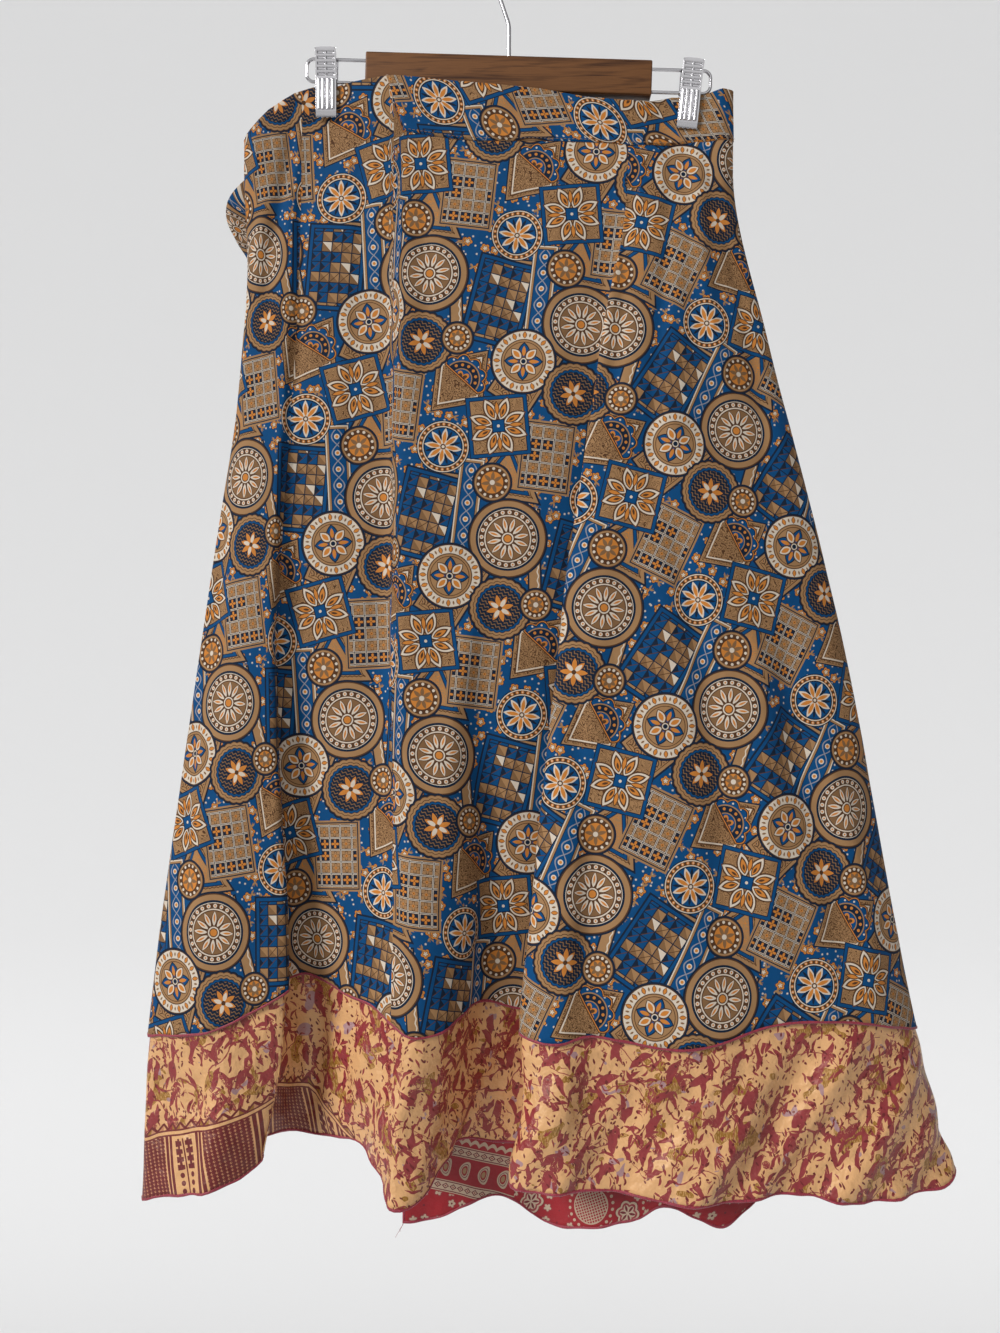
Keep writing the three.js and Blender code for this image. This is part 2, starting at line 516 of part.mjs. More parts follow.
// A clip's jaw faces -Y and stands from 0 at its top to -CLIP.height. The upper half has rows
// of raised lozenges, two across, the lower half four upright flutes, and its sides turn back.
// bite is how far the lip at its foot stands in front of y = 0.
function jawGeometry(bite) {
  const half = CLIP.width / 2;
  const line = [-half, ...JAW_COLUMNS.map((k) => k * (half - CLIP.edge)), half];
  const raised = (r, c) => (LOZENGE_ROWS.includes(r) && LOZENGE_COLUMNS.includes(c))
    || (FLUTE_ROWS.includes(r) && FLUTE_COLUMNS.includes(c));
  const profile = (z) => alongHeight(
    [0, CLIP.waist.z, -CLIP.height + CLIP.lip.height, -CLIP.height],
    [CLIP.spread, CLIP.waist.y, bite + CLIP.lip.out, bite + CLIP.sheet],
    z,
  );
  const lowered = (z, r, c) => {
    const atCorner = r === 0 && (c < 2 || c > line.length - 3);
    return atCorner ? z - CLIP.corner : z;
  };
  const front = JAW_ROWS.map((z, r) => line.map((x, c) => {
    const relief = raised(r, c) ? CLIP.relief : 0;
    return new THREE.Vector3(x, -profile(z) - relief, lowered(z, r, c));
  }));
  const inward = (half - CLIP.sheet) / half;
  const rear = JAW_ROWS.map((z, r) => line.map(
    (x, c) => new THREE.Vector3(x * inward, -profile(z) + CLIP.sheet, lowered(z, r, c)),
  ));
  // the sides turn back from the plate, deepest beside the spring
  rear.forEach((row, r) => {
    const turn = FLANGE_ROWS.includes(r) ? CLIP.flange : CLIP.turn;
    const foot = row[0].y + turn;
    row.unshift(row[0].clone().setY(foot));
    row.push(row[row.length - 1].clone().setY(foot));
    front[r].unshift(front[r][0].clone().setY(foot));
    front[r].push(front[r][front[r].length - 1].clone().setY(foot));
  });
  return wallGeometry(front, rear);
}

function springGeometry() {
  const half = SPRING.length / 2;
  const profile = [
    new THREE.Vector2(SPRING.inner, -half),
    new THREE.Vector2(SPRING.outer, -half),
    new THREE.Vector2(SPRING.outer, half),
    new THREE.Vector2(SPRING.inner, half),
    new THREE.Vector2(SPRING.inner, -half),
  ];
  const geometry = new THREE.LatheGeometry(profile, 12);
  geometry.rotateZ(Math.PI / 2);
  return geometry;
}

// A whole clip: two jaws back to back and the spring round the lower wire.
function makeClip(name, { x, top, lean, biteFront, biteBack, wireHeight }) {
  const clip = new THREE.Group();
  const front = named(`${name}_front`, jawGeometry(biteFront), CHROME);
  const back = named(`${name}_back`, jawGeometry(biteBack), CHROME);
  back.rotation.z = Math.PI;
  const spring = named(`${name}_spring`, springGeometry(), CHROME);
  spring.position.z = wireHeight - top;
  spring.rotation.y = -lean + BAR_TILT;
  clip.add(front, back, spring);
  clip.position.set(x, 0, top);
  clip.rotation.y = lean;
  return clip;
}

function makeHanger() {
  const rail = new THREE.Group();
  rail.add(makeBar(), makeLoop("wire_left", -1), makeLoop("wire_right", 1));
  rail.position.set(BAR.middle, 0, BAR.top);
  rail.rotation.y = BAR_TILT;
  const hanger = new THREE.Group();
  hanger.add(makeHook(), rail);
  hanger.add(makeClip("clip_left", {
    x: -147, top: -95, lean: 0, biteFront: 4.2, biteBack: 6.6, wireHeight: -118.8,
  }));
  hanger.add(makeClip("clip_right", {
    x: 149, top: -104, lean: THREE.MathUtils.degToRad(5.7), biteFront: 3.9, biteBack: 4.6,
    wireHeight: -127.8,
  }));
  return hanger;
}

const part = new THREE.Group();
part.add(...makeOuterLayer(), ...makeUnderLayer(), ...makeInnerEnd());
part.add(...makeWaistband(), ...makeTie(), makeHanger());

export default part;
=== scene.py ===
"""A two-layer wrap skirt on a short clip hanger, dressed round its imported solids.

Lengths in the tables are millimetres in the part's own frame: +Z up, the front towards -Y.
"""

import math
from typing import NamedTuple

import bpy
import numpy as np
from mathutils import Matrix, Vector


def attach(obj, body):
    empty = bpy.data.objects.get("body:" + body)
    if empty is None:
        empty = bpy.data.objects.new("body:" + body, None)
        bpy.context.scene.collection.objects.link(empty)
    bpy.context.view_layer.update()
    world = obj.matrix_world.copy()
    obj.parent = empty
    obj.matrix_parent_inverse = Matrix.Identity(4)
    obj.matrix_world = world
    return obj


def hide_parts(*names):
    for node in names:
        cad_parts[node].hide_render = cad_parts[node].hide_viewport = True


bl_info = {
    "name": "Wrap Skirt on Clip Hanger",
    "version": (1, 0, 0),
    "blender": (4, 5, 0),
    "location": "3D View > Sidebar > Skirt",
    "description": "Cloth, prints, sewing and hanger of a two-layer wrap skirt",
    "category": "Object",
}

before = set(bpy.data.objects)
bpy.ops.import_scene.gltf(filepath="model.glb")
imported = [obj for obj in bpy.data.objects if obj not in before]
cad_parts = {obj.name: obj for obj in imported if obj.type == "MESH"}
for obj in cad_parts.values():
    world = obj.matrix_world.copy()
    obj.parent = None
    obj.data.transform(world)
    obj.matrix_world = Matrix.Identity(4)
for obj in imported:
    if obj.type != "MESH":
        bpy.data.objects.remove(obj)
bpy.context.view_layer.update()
BODY = "root"
MM = 0.001


def srgb(red, green, blue):
    """A screen colour, 0 to 255, as the scene-linear one that sockets take."""
    return tuple(
        c / 12.92 if c <= 0.04045 else ((c + 0.055) / 1.055) ** 2.4
        for c in (red / 255, green / 255, blue / 255)
    )


# ---- the folds ----
# A row for each line that a crest, trough or edge follows down the cloth, round the skirt from
# its left side over the front to the right side and along the back. pinch is the depth beside
# the clips, across and depth are x and y at each of HEIGHTS, top is where the outer layer
# starts and band the waistband's upper edge.

HEIGHTS = (-190, -320, -560, -870, -1000)
CLIP_HEIGHT = -150


class Fold(NamedTuple):
    name: str
    pinch: float
    across: tuple
    depth: tuple
    top: float
    band: float
    hem: float
    under_hem: float


NO_BAND = -120
RING = tuple(Fold(*row) for row in (
    ("left_side", 1, (-214, -213, -247, -289, -296), (1, 2, 0, -3, -5), -166, -166, -889, -1020),
    ("left_round", -4, (-205, -204, -237, -278, -284), (-5, -6, -9, -13, -16), -155, NO_BAND, -887, -1016),
    ("left_rise", -3.5, (-194, -194, -216, -235, -237), (-6, -10, -20, -32, -40), -143, NO_BAND, -879, -1001),
    ("left_shelf", -3, (-181, -183, -198, -200, -210), (-6, -12, -24, -30, -34), -134, NO_BAND, -863, -992),
    ("left_lip", -2.5, (-173, -176, -186, -174, -191), (-6, -12, -24, -26, -26), -129, NO_BAND, -848, -979),
    ("left_back", -2.2, (-167, -170, -184, -180, -200), (-5, -10, -13, -9, -2), -127, NO_BAND, -845, -972),
    ("left_hollow", -1.8, (-158, -160, -172, -165, -164), (-4, -10, -10, 8, 18), -124, NO_BAND, -843, -978),
    ("left_hollow_2", -2, (-141, -145, -155, -147, -140), (-6, -11, -12, 0, 9), -124, NO_BAND, -848, -976),
    ("middle_rise", -6, (-127, -132, -140, -130, -122), (-8, -12, -14, -9, -5), -122, NO_BAND, -856, -974),
    ("middle_step", -10, (-100, -99, -99, -106, -111), (-11, -12, -14, -28, -34), -119, -119, -861, -982),
    ("middle_ridge", -10.5, (-84, -85, -86, -76, -94), (-12, -20, -26, -52, -62), -164, -120, -876, -1003),
    ("middle_ridge_2", -10.5, (-60, -62, -63, -51, -68), (-12, -20, -27, -46, -52), -168, -122, -874, -1002),
    ("middle_flank", -10.5, (-40, -42, -38, -34, -54), (-12, -19, -25, -28, -24), -171, -124, -864, -980),
    ("middle_dip", -10.5, (-18, -20, -21, -20, -36), (-12, -19, -22, -7, 1), -172, -126, -861, -977),
    ("middle_floor", -10.5, (25, 25, 9, -2, -13), (-12, -20, -22, -4, 4), -172, -130, -866, -980),
    ("middle_end", -10, (60, 52, 31, 12, 3), (-12, -19, -20, -3, 5), -173, -136, -869, -981),
    ("panel_back", -8.5, (88, 77, 53, 25, 19), (-12, -17, -17, -5, 1), -174, -138, -871, -981),
    ("panel_lip", -7.5, (99, 76, 41, 9, 3), (-12, -24, -34, -46, -50), -175, -138, -876, -991),
    ("panel_crest", -5.5, (113, 94, 64, 38, 38), (-11, -25, -41, -60, -66), -174, -138, -879, -992),
    ("panel_dip", -3.6, (122, 108, 88, 63, 72), (-10, -25, -38, -53, -58), -174, -136, -875, -992),
    ("panel_broad", -2.2, (132, 127, 127, 137, 149), (-8, -24, -38, -57, -65), -173, -133, -884, -999),
    ("flare_dip", -1.7, (148, 147, 168, 211, 221), (-6, -18, -32, -42, -46), -170, -133, -869, -1000),
    ("flare_crest", -1.8, (161, 167, 201, 267, 276), (-5, -13, -24, -36, -42), -169, -130, -870, -1009),
    ("right_round", -2.8, (173, 199, 255, 313, 347), (-5, -6, -9, -14, -16), -167, -126, -881, -1008),
    ("right_side", 1.2, (182, 209, 269, 328, 363), (2, 3, 3, 2, 0), -167, -126, -885, -998),
    ("back_right", 5.2, (174, 200, 257, 314, 348), (8, 10, 14, 17, 17), -170, -128, -882, -992),
    ("back_clip_right", 2.3, (160, 180, 237, 287, 314), (9, 14, 24, 32, 36), -171, -130, -880, -987),
    ("back_ridge_1", 2, (133, 152, 205, 250, 272), (10, 17, 30, 40, 44), -172, -132, -878, -984),
    ("back_hollow_1", 6.5, (100, 112, 150, 193, 213), (11, 15, 20, 24, 23), -174, -136, -872, -980),
    ("back_ridge_2", 10, (55, 62, 92, 120, 132), (12, 20, 34, 42, 46), -174, -135, -876, -984),
    ("back_hollow_2", 10.5, (10, 12, 25, 45, 58), (12, 18, 24, 24, 23), -172, -130, -870, -978),
    ("back_ridge_3", 10.5, (-35, -35, -40, -32, -30), (12, 20, 33, 44, 48), -171, -127, -874, -982),
    ("back_hollow_3", 10.5, (-75, -80, -95, -102, -104), (12, 18, 24, 26, 25), -171, -125, -868, -977),
    ("back_ridge_4", 9, (-115, -125, -145, -165, -172), (11, 18, 32, 40, 44), -172, -124, -872, -980),
    ("back_clip_left", 2, (-136, -145, -168, -190, -200), (9.5, 15.5, 26, 34, 36), -173, -127, -872, -981),
    ("back_hollow_4", 1.8, (-159, -166, -190, -217, -230), (9, 14, 22, 28, 28), -174, -130, -872, -982),
    ("back_left", 6, (-203, -202, -234, -275, -282), (8, 10, 12, 13, 12), -177, -152, -880, -1000),
))
PLACE = {fold.name: number for number, fold in enumerate(RING)}
RIGHT_SIDE = PLACE["right_side"]
ROUND = len(RING)                                     # once round, back at the left side
BACK_END = PLACE["back_left"] - 0.5             # where the wrap starts, under its overlap
FREE_END = PLACE["back_ridge_4"] - ROUND              # where it ends, over the back

INNER_HEIGHTS = (-178, -320, -560, -870, -1000)


class InnerFold(NamedTuple):
    name: str
    across: tuple
    depth: tuple
    hem: float


INNER_END = tuple(InnerFold(*row) for row in (
    ("loose_edge", (-62, -66, -74, -84, -86), (-3, -6, -9, 3, 10), -1049),
    ("loose_corner", (-40, -42, -48, -56, -58), (-4, -8, -10, 2, 11), -1046),
    ("hollow", (-10, -12, -15, -19, -20), (-4, -9, -11, 3, 10), -1029),
    ("hollow_end", (20, 18, 10, 5, 4), (-4, -9, -10, 4, 10), -1029),
    ("first_wave", (43, 43, 38, 32, 30), (-4, -8, -8, 5, 9), -1048),
    ("rise", (60, 62, 66, 66, 66), (-4, -8, -14, -8, -10), -1042),
    ("panel", (74, 82, 95, 102, 104), (-3.5, -8, -18, -18, -20), -1029),
    ("panel_notch", (82, 94, 112, 120, 122), (-3, -8, -19, -24, -24), -1018),
    ("second_wave", (90, 108, 134, 146, 148), (-3, -7, -18, -25, -26), -1027),
    ("wave_crest", (97, 120, 150, 165, 168), (-2.5, -6, -16, -24, -25), -1034),
    ("wave_end", (104, 130, 165, 183, 187), (-2, -5, -13, -20, -22), -1022),
    ("inner_side", (110, 138, 180, 201, 206), (-1.5, -3, -9, -15, -18), -1008),
))

# The tie's middle line behind the left side, with its full width.
TIE = np.array([
    # x, y, z, width
    (-122, 19.2, -173, 34),
    (-150, 18.4, -174, 34),
    (-176, 18, -180, 34),
    (-197, 18, -195, 33),
    (-213, 18, -215, 39),
    (-209, 18, -232, 36),
    (-199, 19, -252, 34),
    (-194, 20.6, -285, 34),
    (-198, 21.8, -331, 34),
])

LAYER_STEP = 2.6               # how far the under layer hangs inside the outer one
SIDE_STEP = 1.7                # the same where the two turn at the sides
UNDER_TOP = -178
FLOUNCE_START = 14             # how far above the outer hem the flounce's close rows start
SEAM_GAP = 0.4                 # between the waistband's foot and the layer's own edge


# The small creases of each side, soft troughs or, where the depth is negative, ridges: the x and
# z of each one's top and foot, its width and its depth.
FRONT_CREASES = (
    ((-176, -135), (-196, -330), 7, 2.2),
    ((-160, -150), (-176, -420), 6, 1.6),
    ((-193, -190), (-222, -470), 9, -2.0),
    ((-120, -150), (-118, -520), 8, 1.8),
    ((-104, -190), (-128, -700), 7, -1.6),
    ((-60, -185), (-72, -420), 9, 1.5),
    ((-30, -520), (-52, -800), 12, -2.6),
    ((10, -180), (-4, -390), 10, 1.6),
    ((46, -178), (30, -460), 9, -1.4),
    ((104, -190), (72, -420), 6, 1.6),
    ((126, -180), (112, -520), 8, 1.8),
    ((146, -150), (176, -420), 9, -2.0),
    ((168, -180), (226, -560), 8, 1.8),
    ((60, -560), (54, -890), 12, 3.0),
    ((130, -430), (178, -880), 13, 2.6),
    ((182, -520), (222, -905), 13, -2.4),
    ((216, -520), (268, -905), 12, 2.6),
    ((250, -640), (300, -900), 10, -2.0),
    ((-228, -330), (-262, -800), 11, 2.0),
    ((-236, -560), (-252, -905), 9, -1.8),
    ((-8, -640), (-26, -880), 8, 1.6),
)
BACK_CREASES = (
    ((170, -170), (262, -640), 10, 2.2),
    ((118, -180), (166, -700), 12, -2.4),
    ((80, -180), (104, -560), 9, 1.8),
    ((30, -300), (58, -900), 13, 2.6),
    ((-12, -180), (-6, -620), 9, -1.8),
    ((-52, -200), (-66, -880), 11, 2.4),
    ((-96, -180), (-128, -700), 10, -2.0),
    ((-176, -190), (-236, -860), 12, 2.2),
    ((-140, -420), (-186, -900), 9, -1.8),
    ((206, -420), (286, -900), 12, 2.4),
)
CREASING = 1.6                 # what every crease's depth is multiplied by


# ---- cloth surfaces ----

def along_height(heights, values, z):
    """Smooth values down a fold at heights z: level above the first, straight below the last."""
    heights, values = np.array(heights, float), np.array(values, float)
    last = len(heights) - 1
    slopes = np.zeros(last + 1)
    for i in range(1, last + 1):
        after = min(i + 1, last)
        slopes[i] = (values[after] - values[i - 1]) / (heights[after] - heights[i - 1])
    i = np.clip(np.searchsorted(-heights, -z, side="right") - 1, 0, last - 1)
    span = heights[i + 1] - heights[i]
    t = (z - heights[i]) / span
    inside = (
        values[i] + (values[i + 1] - values[i]) * t * t * (3 - 2 * t)
        + t * (1 - t) ** 2 * span * slopes[i]
        + t * t * (t - 1) * span * slopes[i + 1]
    )
    below = values[last] + slopes[last] * (z - heights[last])
    return np.where(z >= heights[0], values[0], np.where(z <= heights[last], below, inside))


def smooth_share(t):
    share = np.clip(t, 0, 1)
    return share * share * (3 - 2 * share)


def between(before, first, second, after, share):
    """A point and direction on the smooth curve from first to second, each an (x, y) array."""
    def spacing(a, b):
        return np.maximum(np.sqrt(np.hypot(*(b - a))), 0.01)

    lead, middle, trail = spacing(before, first), spacing(first, second), spacing(second, after)
    leave = middle * (
        (first - before) / lead - (second - before) / (lead + middle) + (second - first) / middle
    )
    arrive = middle * (
        (second - first) / middle - (after - first) / (middle + trail) + (after - second) / trail
    )
    square = -3 * first + 3 * second - 2 * leave - arrive
    cube = 2 * first - 2 * second + leave + arrive
    point = first + leave * share + square * share**2 + cube * share**3
    way = leave + 2 * square * share + 3 * cube * share**2
    return point, way


def smooth_value(value, t):
    """The smooth curve a share t of the way from value(0) to value(1), led by value(-1) and value(2)."""
    before, first, second, after = (value(k) for k in (-1, 0, 1, 2))
    return 0.5 * (
        2 * first + (second - before) * t
        + (2 * before - 5 * first + 4 * second - after) * t**2
        + (3 * first - before - 3 * second + after) * t**3
    )


class Hanging:
    """Cloth that hangs on a row of fold lines, closed into a ring or open at both ends."""

    def __init__(self, folds, heights, closed):
        self.folds, self.heights, self.closed = folds, heights, closed

    def fold_line(self, number, z):
        fold = self.folds[number]
        x = along_height(self.heights, fold.across, z)
        if self.closed:
            return np.stack((x, along_height((CLIP_HEIGHT, *self.heights), (fold.pinch, *fold.depth), z)))
        return np.stack((x, along_height(self.heights, fold.depth, z)))

    def neighbours(self, first, z):
        """The four fold lines round the span that starts at fold number first."""
        count = len(self.folds)
        if self.closed:
            return [self.fold_line((first + k) % count, z) for k in (-1, 0, 1, 2)]
        lines = [self.fold_line(min(max(first + k, 0), count - 1), z) for k in (-1, 0, 1, 2)]
        if first == 0:
            lines[0] = 2 * lines[1] - lines[2]
        if first == count - 2:
            lines[3] = 2 * lines[2] - lines[1]
        return lines

    def surface(self, s, z, shift=0.0):
        """Points and outward directions at places s along the folds and heights z, rows by columns."""
        z = np.broadcast_to(z, (len(z), len(s)))
        shift = np.broadcast_to(shift, z.shape)
        points, outward = np.zeros((*z.shape, 3)), np.zeros((*z.shape, 3))
        first = np.floor(s).astype(int)
        if not self.closed:
            first = np.minimum(first, len(self.folds) - 2)
        for number in np.unique(first):
            columns = first == number
            share = (s - first)[columns]
            at, way = between(*self.neighbours(number, z[:, columns]), share)
            out = np.stack((way[1], -way[0])) / np.maximum(np.hypot(*way), 1e-6)
            outward[:, columns, :2] = out.transpose(1, 2, 0)
            points[:, columns, :2] = at.transpose(1, 2, 0)
        points[:, :, 2] = z
        return points + outward * shift[:, :, None], outward

    def row_value(self, key, s, smooth=False):
        """One of the folds' own values at places s, straight between folds or smooth as a hem is."""
        count = len(self.folds)
        values = np.array([getattr(fold, key) for fold in self.folds], float)
        first = np.floor(s).astype(int)
        if not self.closed:
            first = np.minimum(first, count - 2)
        t = s - first

        def value(k):
            number = first + k
            return values[number % count if self.closed else np.clip(number, 0, count - 1)]

        if not smooth:
            return value(0) + (value(1) - value(0)) * t
        return smooth_value(value, t)

    def places(self, start, end, step, low):
        """Places from start to end, about step apart along the cloth at height low."""
        found = [start]
        for number in range(math.floor(start), math.ceil(end)):
            ends, _ = self.surface(np.array([number, number + 0.999]), np.array([[low]]))
            steps = max(2, round(np.linalg.norm(ends[0, 1] - ends[0, 0]) / step))
            spread = number + np.arange(steps) / steps
            found += [s for s in spread if start + 0.02 < s < end - 0.02]
        return np.array([*found, end])


SKIRT = Hanging(RING, HEIGHTS, closed=True)
LINER = Hanging(INNER_END, INNER_HEIGHTS, closed=False)


def layer_step(s):
    """How far the under layer hangs inside the outer one; the two lie closer where they turn."""
    away = np.minimum(np.minimum(np.abs(s), np.abs(s - RIGHT_SIDE)), np.abs(s - ROUND))
    return SIDE_STEP + (LAYER_STEP - SIDE_STEP) * smooth_share(away - 0.5)


def overlap_lift(s):
    """How far the overlap lifts over the back's own end, from nothing at the left side."""
    return 2 * LAYER_STEP * smooth_share(-s)


def row_lengths(points):
    """How far each point is along its row, from the row's first."""
    steps = np.linalg.norm(np.diff(points, axis=1), axis=2)
    return np.concatenate((np.zeros((len(points), 1)), np.cumsum(steps, axis=1)), axis=1)


def crease_depth(points, outward):
    """How far the small creases move each point in, on the side of the skirt that they are on."""
    total = np.zeros(points.shape[:2])
    x, z = points[..., 0], points[..., 2]
    for creases, side in ((FRONT_CREASES, -1), (BACK_CREASES, 1)):
        facing = smooth_share(outward[..., 1] * 2 * side)
        for (x_top, z_top), (x_foot, z_foot), broad, depth in creases:
            down = (z_top - z) / (z_top - z_foot)
            line = x_top + (x_foot - x_top) * down + broad * 0.5 * np.sin(down * 7 + x_top)
            width = broad * (0.75 + 0.5 * np.clip(down, 0, 1))
            fade = smooth_share(down * 4) * smooth_share((1 - down) * 3)
            total += facing * CREASING * depth * fade * np.exp(-(((x - line) / width) ** 2))
    return total


def slack(along, height, size):
    """Slow uneven waves of a soft cloth, about size either way."""
    return size * (
        np.sin(along / 31 + height / 57 + 1.3) * np.sin(height / 43 - along / 90)
        + 0.6 * np.sin(along / 17 - height / 71 + 0.4) * np.sin(height / 29 + along / 61 + 2.1)
        + 0.35 * np.sin(along / 9.5 + height / 33) * np.sin(height / 15 - along / 40 + 0.7)
    )


def hem_ripple(along, above, size, reach):
    """The short waves that a stretched overlocked edge has, dying away above it."""
    wave = (
        np.sin(along / 5.1 + 2.0 * np.sin(along / 37))
        + 0.7 * np.sin(along / 8.3 + 1.5 * np.sin(along / 53) + 1)
    )
    return size * wave * np.exp(-above / reach) * (0.6 + 0.4 * np.sin(along / 71))


# ---- meshes ----

def mesh_object(name, points, quads, uvs=None):
    """A smooth-shaded mesh from points in millimetres, with its UV maps given by corner."""
    mesh = bpy.data.meshes.new(name)
    points, quads = np.asarray(points, float).reshape(-1, 3), np.asarray(quads, int).reshape(-1, 4)
    mesh.vertices.add(len(points))
    mesh.vertices.foreach_set("co", (points * MM).astype(np.float32).ravel())
    mesh.loops.add(quads.size)
    mesh.loops.foreach_set("vertex_index", quads.ravel())
    mesh.polygons.add(len(quads))
    mesh.polygons.foreach_set("loop_start", np.arange(0, quads.size, 4))
    mesh.polygons.foreach_set("use_smooth", np.ones(len(quads), bool))
    mesh.update(calc_edges=True)
    for title, corners in (uvs or {}).items():
        layer = mesh.uv_layers.new(name=title)
        layer.data.foreach_set("uv", np.asarray(corners, np.float32).ravel())
    mesh.validate()
    made = bpy.data.objects.new(name, mesh)
    bpy.context.scene.collection.objects.link(made)
    return made


def grid_quads(rows, columns, wrap=False):
    """Corner numbers of a grid's quads, rows by columns; wrap joins the last row to the first."""
    r, c = np.meshgrid(np.arange(rows if wrap else rows - 1), np.arange(columns - 1), indexing="ij")
    below = (r + 1) % rows
    return np.stack((r * columns + c, below * columns + c, below * columns + c + 1, r * columns + c + 1), -1)


def corner_uvs(quads, flat):
    """One UV pair for each corner of the quads, out of one pair for each point."""
    return flat.reshape(-1, 2)[quads.reshape(-1)]


def pick(made):
    """Makes one object the only chosen and the active one."""
    bpy.ops.object.select_all(action="DESELECT")
    bpy.context.view_layer.objects.active = made
    made.select_set(True)


def apply_modifier(made, kind, **settings):
    """Adds one modifier with its settings and applies it."""
    pick(made)
    modifier = made.modifiers.new(kind.title(), kind)
    for key, value in settings.items():
        setattr(modifier, key, value)
    if "FINISHED" not in bpy.ops.object.modifier_apply(modifier=modifier.name):
        raise RuntimeError(f"{kind} could not be applied to {made.name}")
    made.select_set(False)


def finish_piece(made, material, replaces=()):
    """Gives a finished piece its material and its place in the frame."""
    made.data.materials.clear()
    made.data.materials.append(material)
    if replaces:
        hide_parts(*replaces)
    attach(made, BODY)
    return made


class Panel(NamedTuple):
    """A stretch of the cloth that hangs as one flat panel, and how far its print leans there.

    x is measured along the rows from the fold named anchor; way is 1 where x grows along them.
    """

    start: float
    end: float
    anchor: str
    way: int
    grain: float


def panels(*grains):
    """The wrap's six flat stretches, from its free end round to its start, with their grains."""
    left, middle, right = PLACE["left_back"], PLACE["middle_step"] + 0.5, PLACE["panel_back"] + 0.6
    stretches = (
        (FREE_END, 0, "back_hollow_4", -1), (0, left, "left_shelf", 1),
        (left, middle, "left_hollow_2", 1), (middle, right, "middle_floor", 1),
        (right, RIGHT_SIDE, "panel_broad", 1), (RIGHT_SIDE, BACK_END, "back_hollow_2", -1),
    )
    return [Panel(*stretch, grain) for stretch, grain in zip(stretches, grains)]


OUTER_PANELS = panels(-14, 3, 9, 19, 38, 66)
UNDER_PANELS = panels(-10, 0, -6, 14, 20, 40)


def turned_flat(x, z, degrees, shift=(0, 0)):
    """Flat places in millimetres turned and shifted, in decimetres."""
    cos, sin = math.cos(math.radians(degrees)), math.sin(math.radians(degrees))
    return np.stack((x * cos - z * sin + shift[0], x * sin + z * cos + shift[1]), -1) / 100


def print_corners(s, points, panels):
    """UV corners, in decimetres, of a print that keeps its own grain in each panel of the cloth."""
    rows, columns = points.shape[:2]
    lengths = row_lengths(points)
    z = points[..., 2]
    middle = rows // 2
    corners = np.zeros((rows - 1, columns - 1, 4, 2))
    meeting = None
    for panel in panels:
        inside = np.flatnonzero((s >= panel.start - 1e-6) & (s <= panel.end + 1e-6))
        first, last = inside[0], min(inside[-1] + 1, columns - 1)
        anchor = PLACE[panel.anchor] - (ROUND if panel.end <= 0 else 0)
        nearest = int(np.argmin(np.abs(s - anchor)))
        x = panel.way * points[:, nearest : nearest + 1, 0] + lengths - lengths[:, nearest : nearest + 1]
        flat = turned_flat(x, z, panel.grain)
        if meeting is not None:
            flat += meeting - flat[middle, first]
        stretch = flat[:, first : last + 1]
        corners[:, first:last, 0] = stretch[:-1, :-1]
        corners[:, first:last, 1] = stretch[1:, :-1]
        corners[:, first:last, 2] = stretch[1:, 1:]
        corners[:, first:last, 3] = stretch[:-1, 1:]
        meeting = flat[middle, last].copy()
    return corners.reshape(-1, 2)


def edge_corners(points):
    """UV corners, in decimetres, of how far each point is along the hem and above it."""
    lengths = row_lengths(points)[-1]
    drops = np.linalg.norm(np.diff(points, axis=0), axis=2)
    above = np.concatenate((np.cumsum(drops[::-1], axis=0)[::-1], np.zeros((1, len(lengths)))))
    return np.stack((np.broadcast_to(lengths, above.shape), above), -1) / 100


# ---- drawing on a material ----

def math_step(operation):
    """A method that runs its number, and any others given, through one math node."""
    def method(self, *others):
        return self.calc(operation, self, *others)

    return method


class Ink:
    """One number of a drawing, built from math nodes as it is written."""

    def __init__(self, tree, socket):
        self.tree, self.socket = tree, socket

    def calc(self, operation, *values):
        node = self.tree.nodes.new("ShaderNodeMath")
        node.operation = operation
        for slot, value in zip(node.inputs, values):
            if isinstance(value, Ink):
                self.tree.links.new(value.socket, slot)
            else:
                slot.default_value = value
        return Ink(self.tree, node.outputs[0])

    def __rsub__(self, other):
        return self.calc("SUBTRACT", other, self)

    __add__ = __radd__ = math_step("ADD")
    __sub__ = math_step("SUBTRACT")
    __mul__ = __rmul__ = math_step("MULTIPLY")
    __truediv__ = math_step("DIVIDE")
    __abs__ = math_step("ABSOLUTE")
    below = math_step("LESS_THAN")
    above = math_step("GREATER_THAN")
    least = math_step("MINIMUM")
    most = math_step("MAXIMUM")
    sine = math_step("SINE")
    cosine = math_step("COSINE")
    floor = math_step("FLOOR")
    fraction = math_step("FRACT")

    def within(self, low, high):
        """1 between low and high."""
        return self.above(low) * self.below(high)

    def wrap(self, half):
        """The value brought between -half and half, as in a repeat that wide."""
        return self.calc("WRAP", self, half, -half)


class Spot:
    """A place on the print with its own x and y in millimetres, and r and a round its centre."""

    def __init__(self, sheet, vector):
        self.sheet, self.vector = sheet, vector
        split = add_node(sheet.tree, "ShaderNodeSeparateXYZ", vector)
        self.x, self.y = (Ink(sheet.tree, split.outputs[k]) for k in (0, 1))
        self._r = self._a = None

    @property
    def r(self):
        if self._r is None:
            node = add_node(self.sheet.tree, "ShaderNodeVectorMath", self.vector, operation="LENGTH")
            self._r = Ink(self.sheet.tree, node.outputs["Value"])
        return self._r

    @property
    def a(self):
        if self._a is None:
            self._a = self.x.calc("ARCTAN2", self.y, self.x)
        return self._a


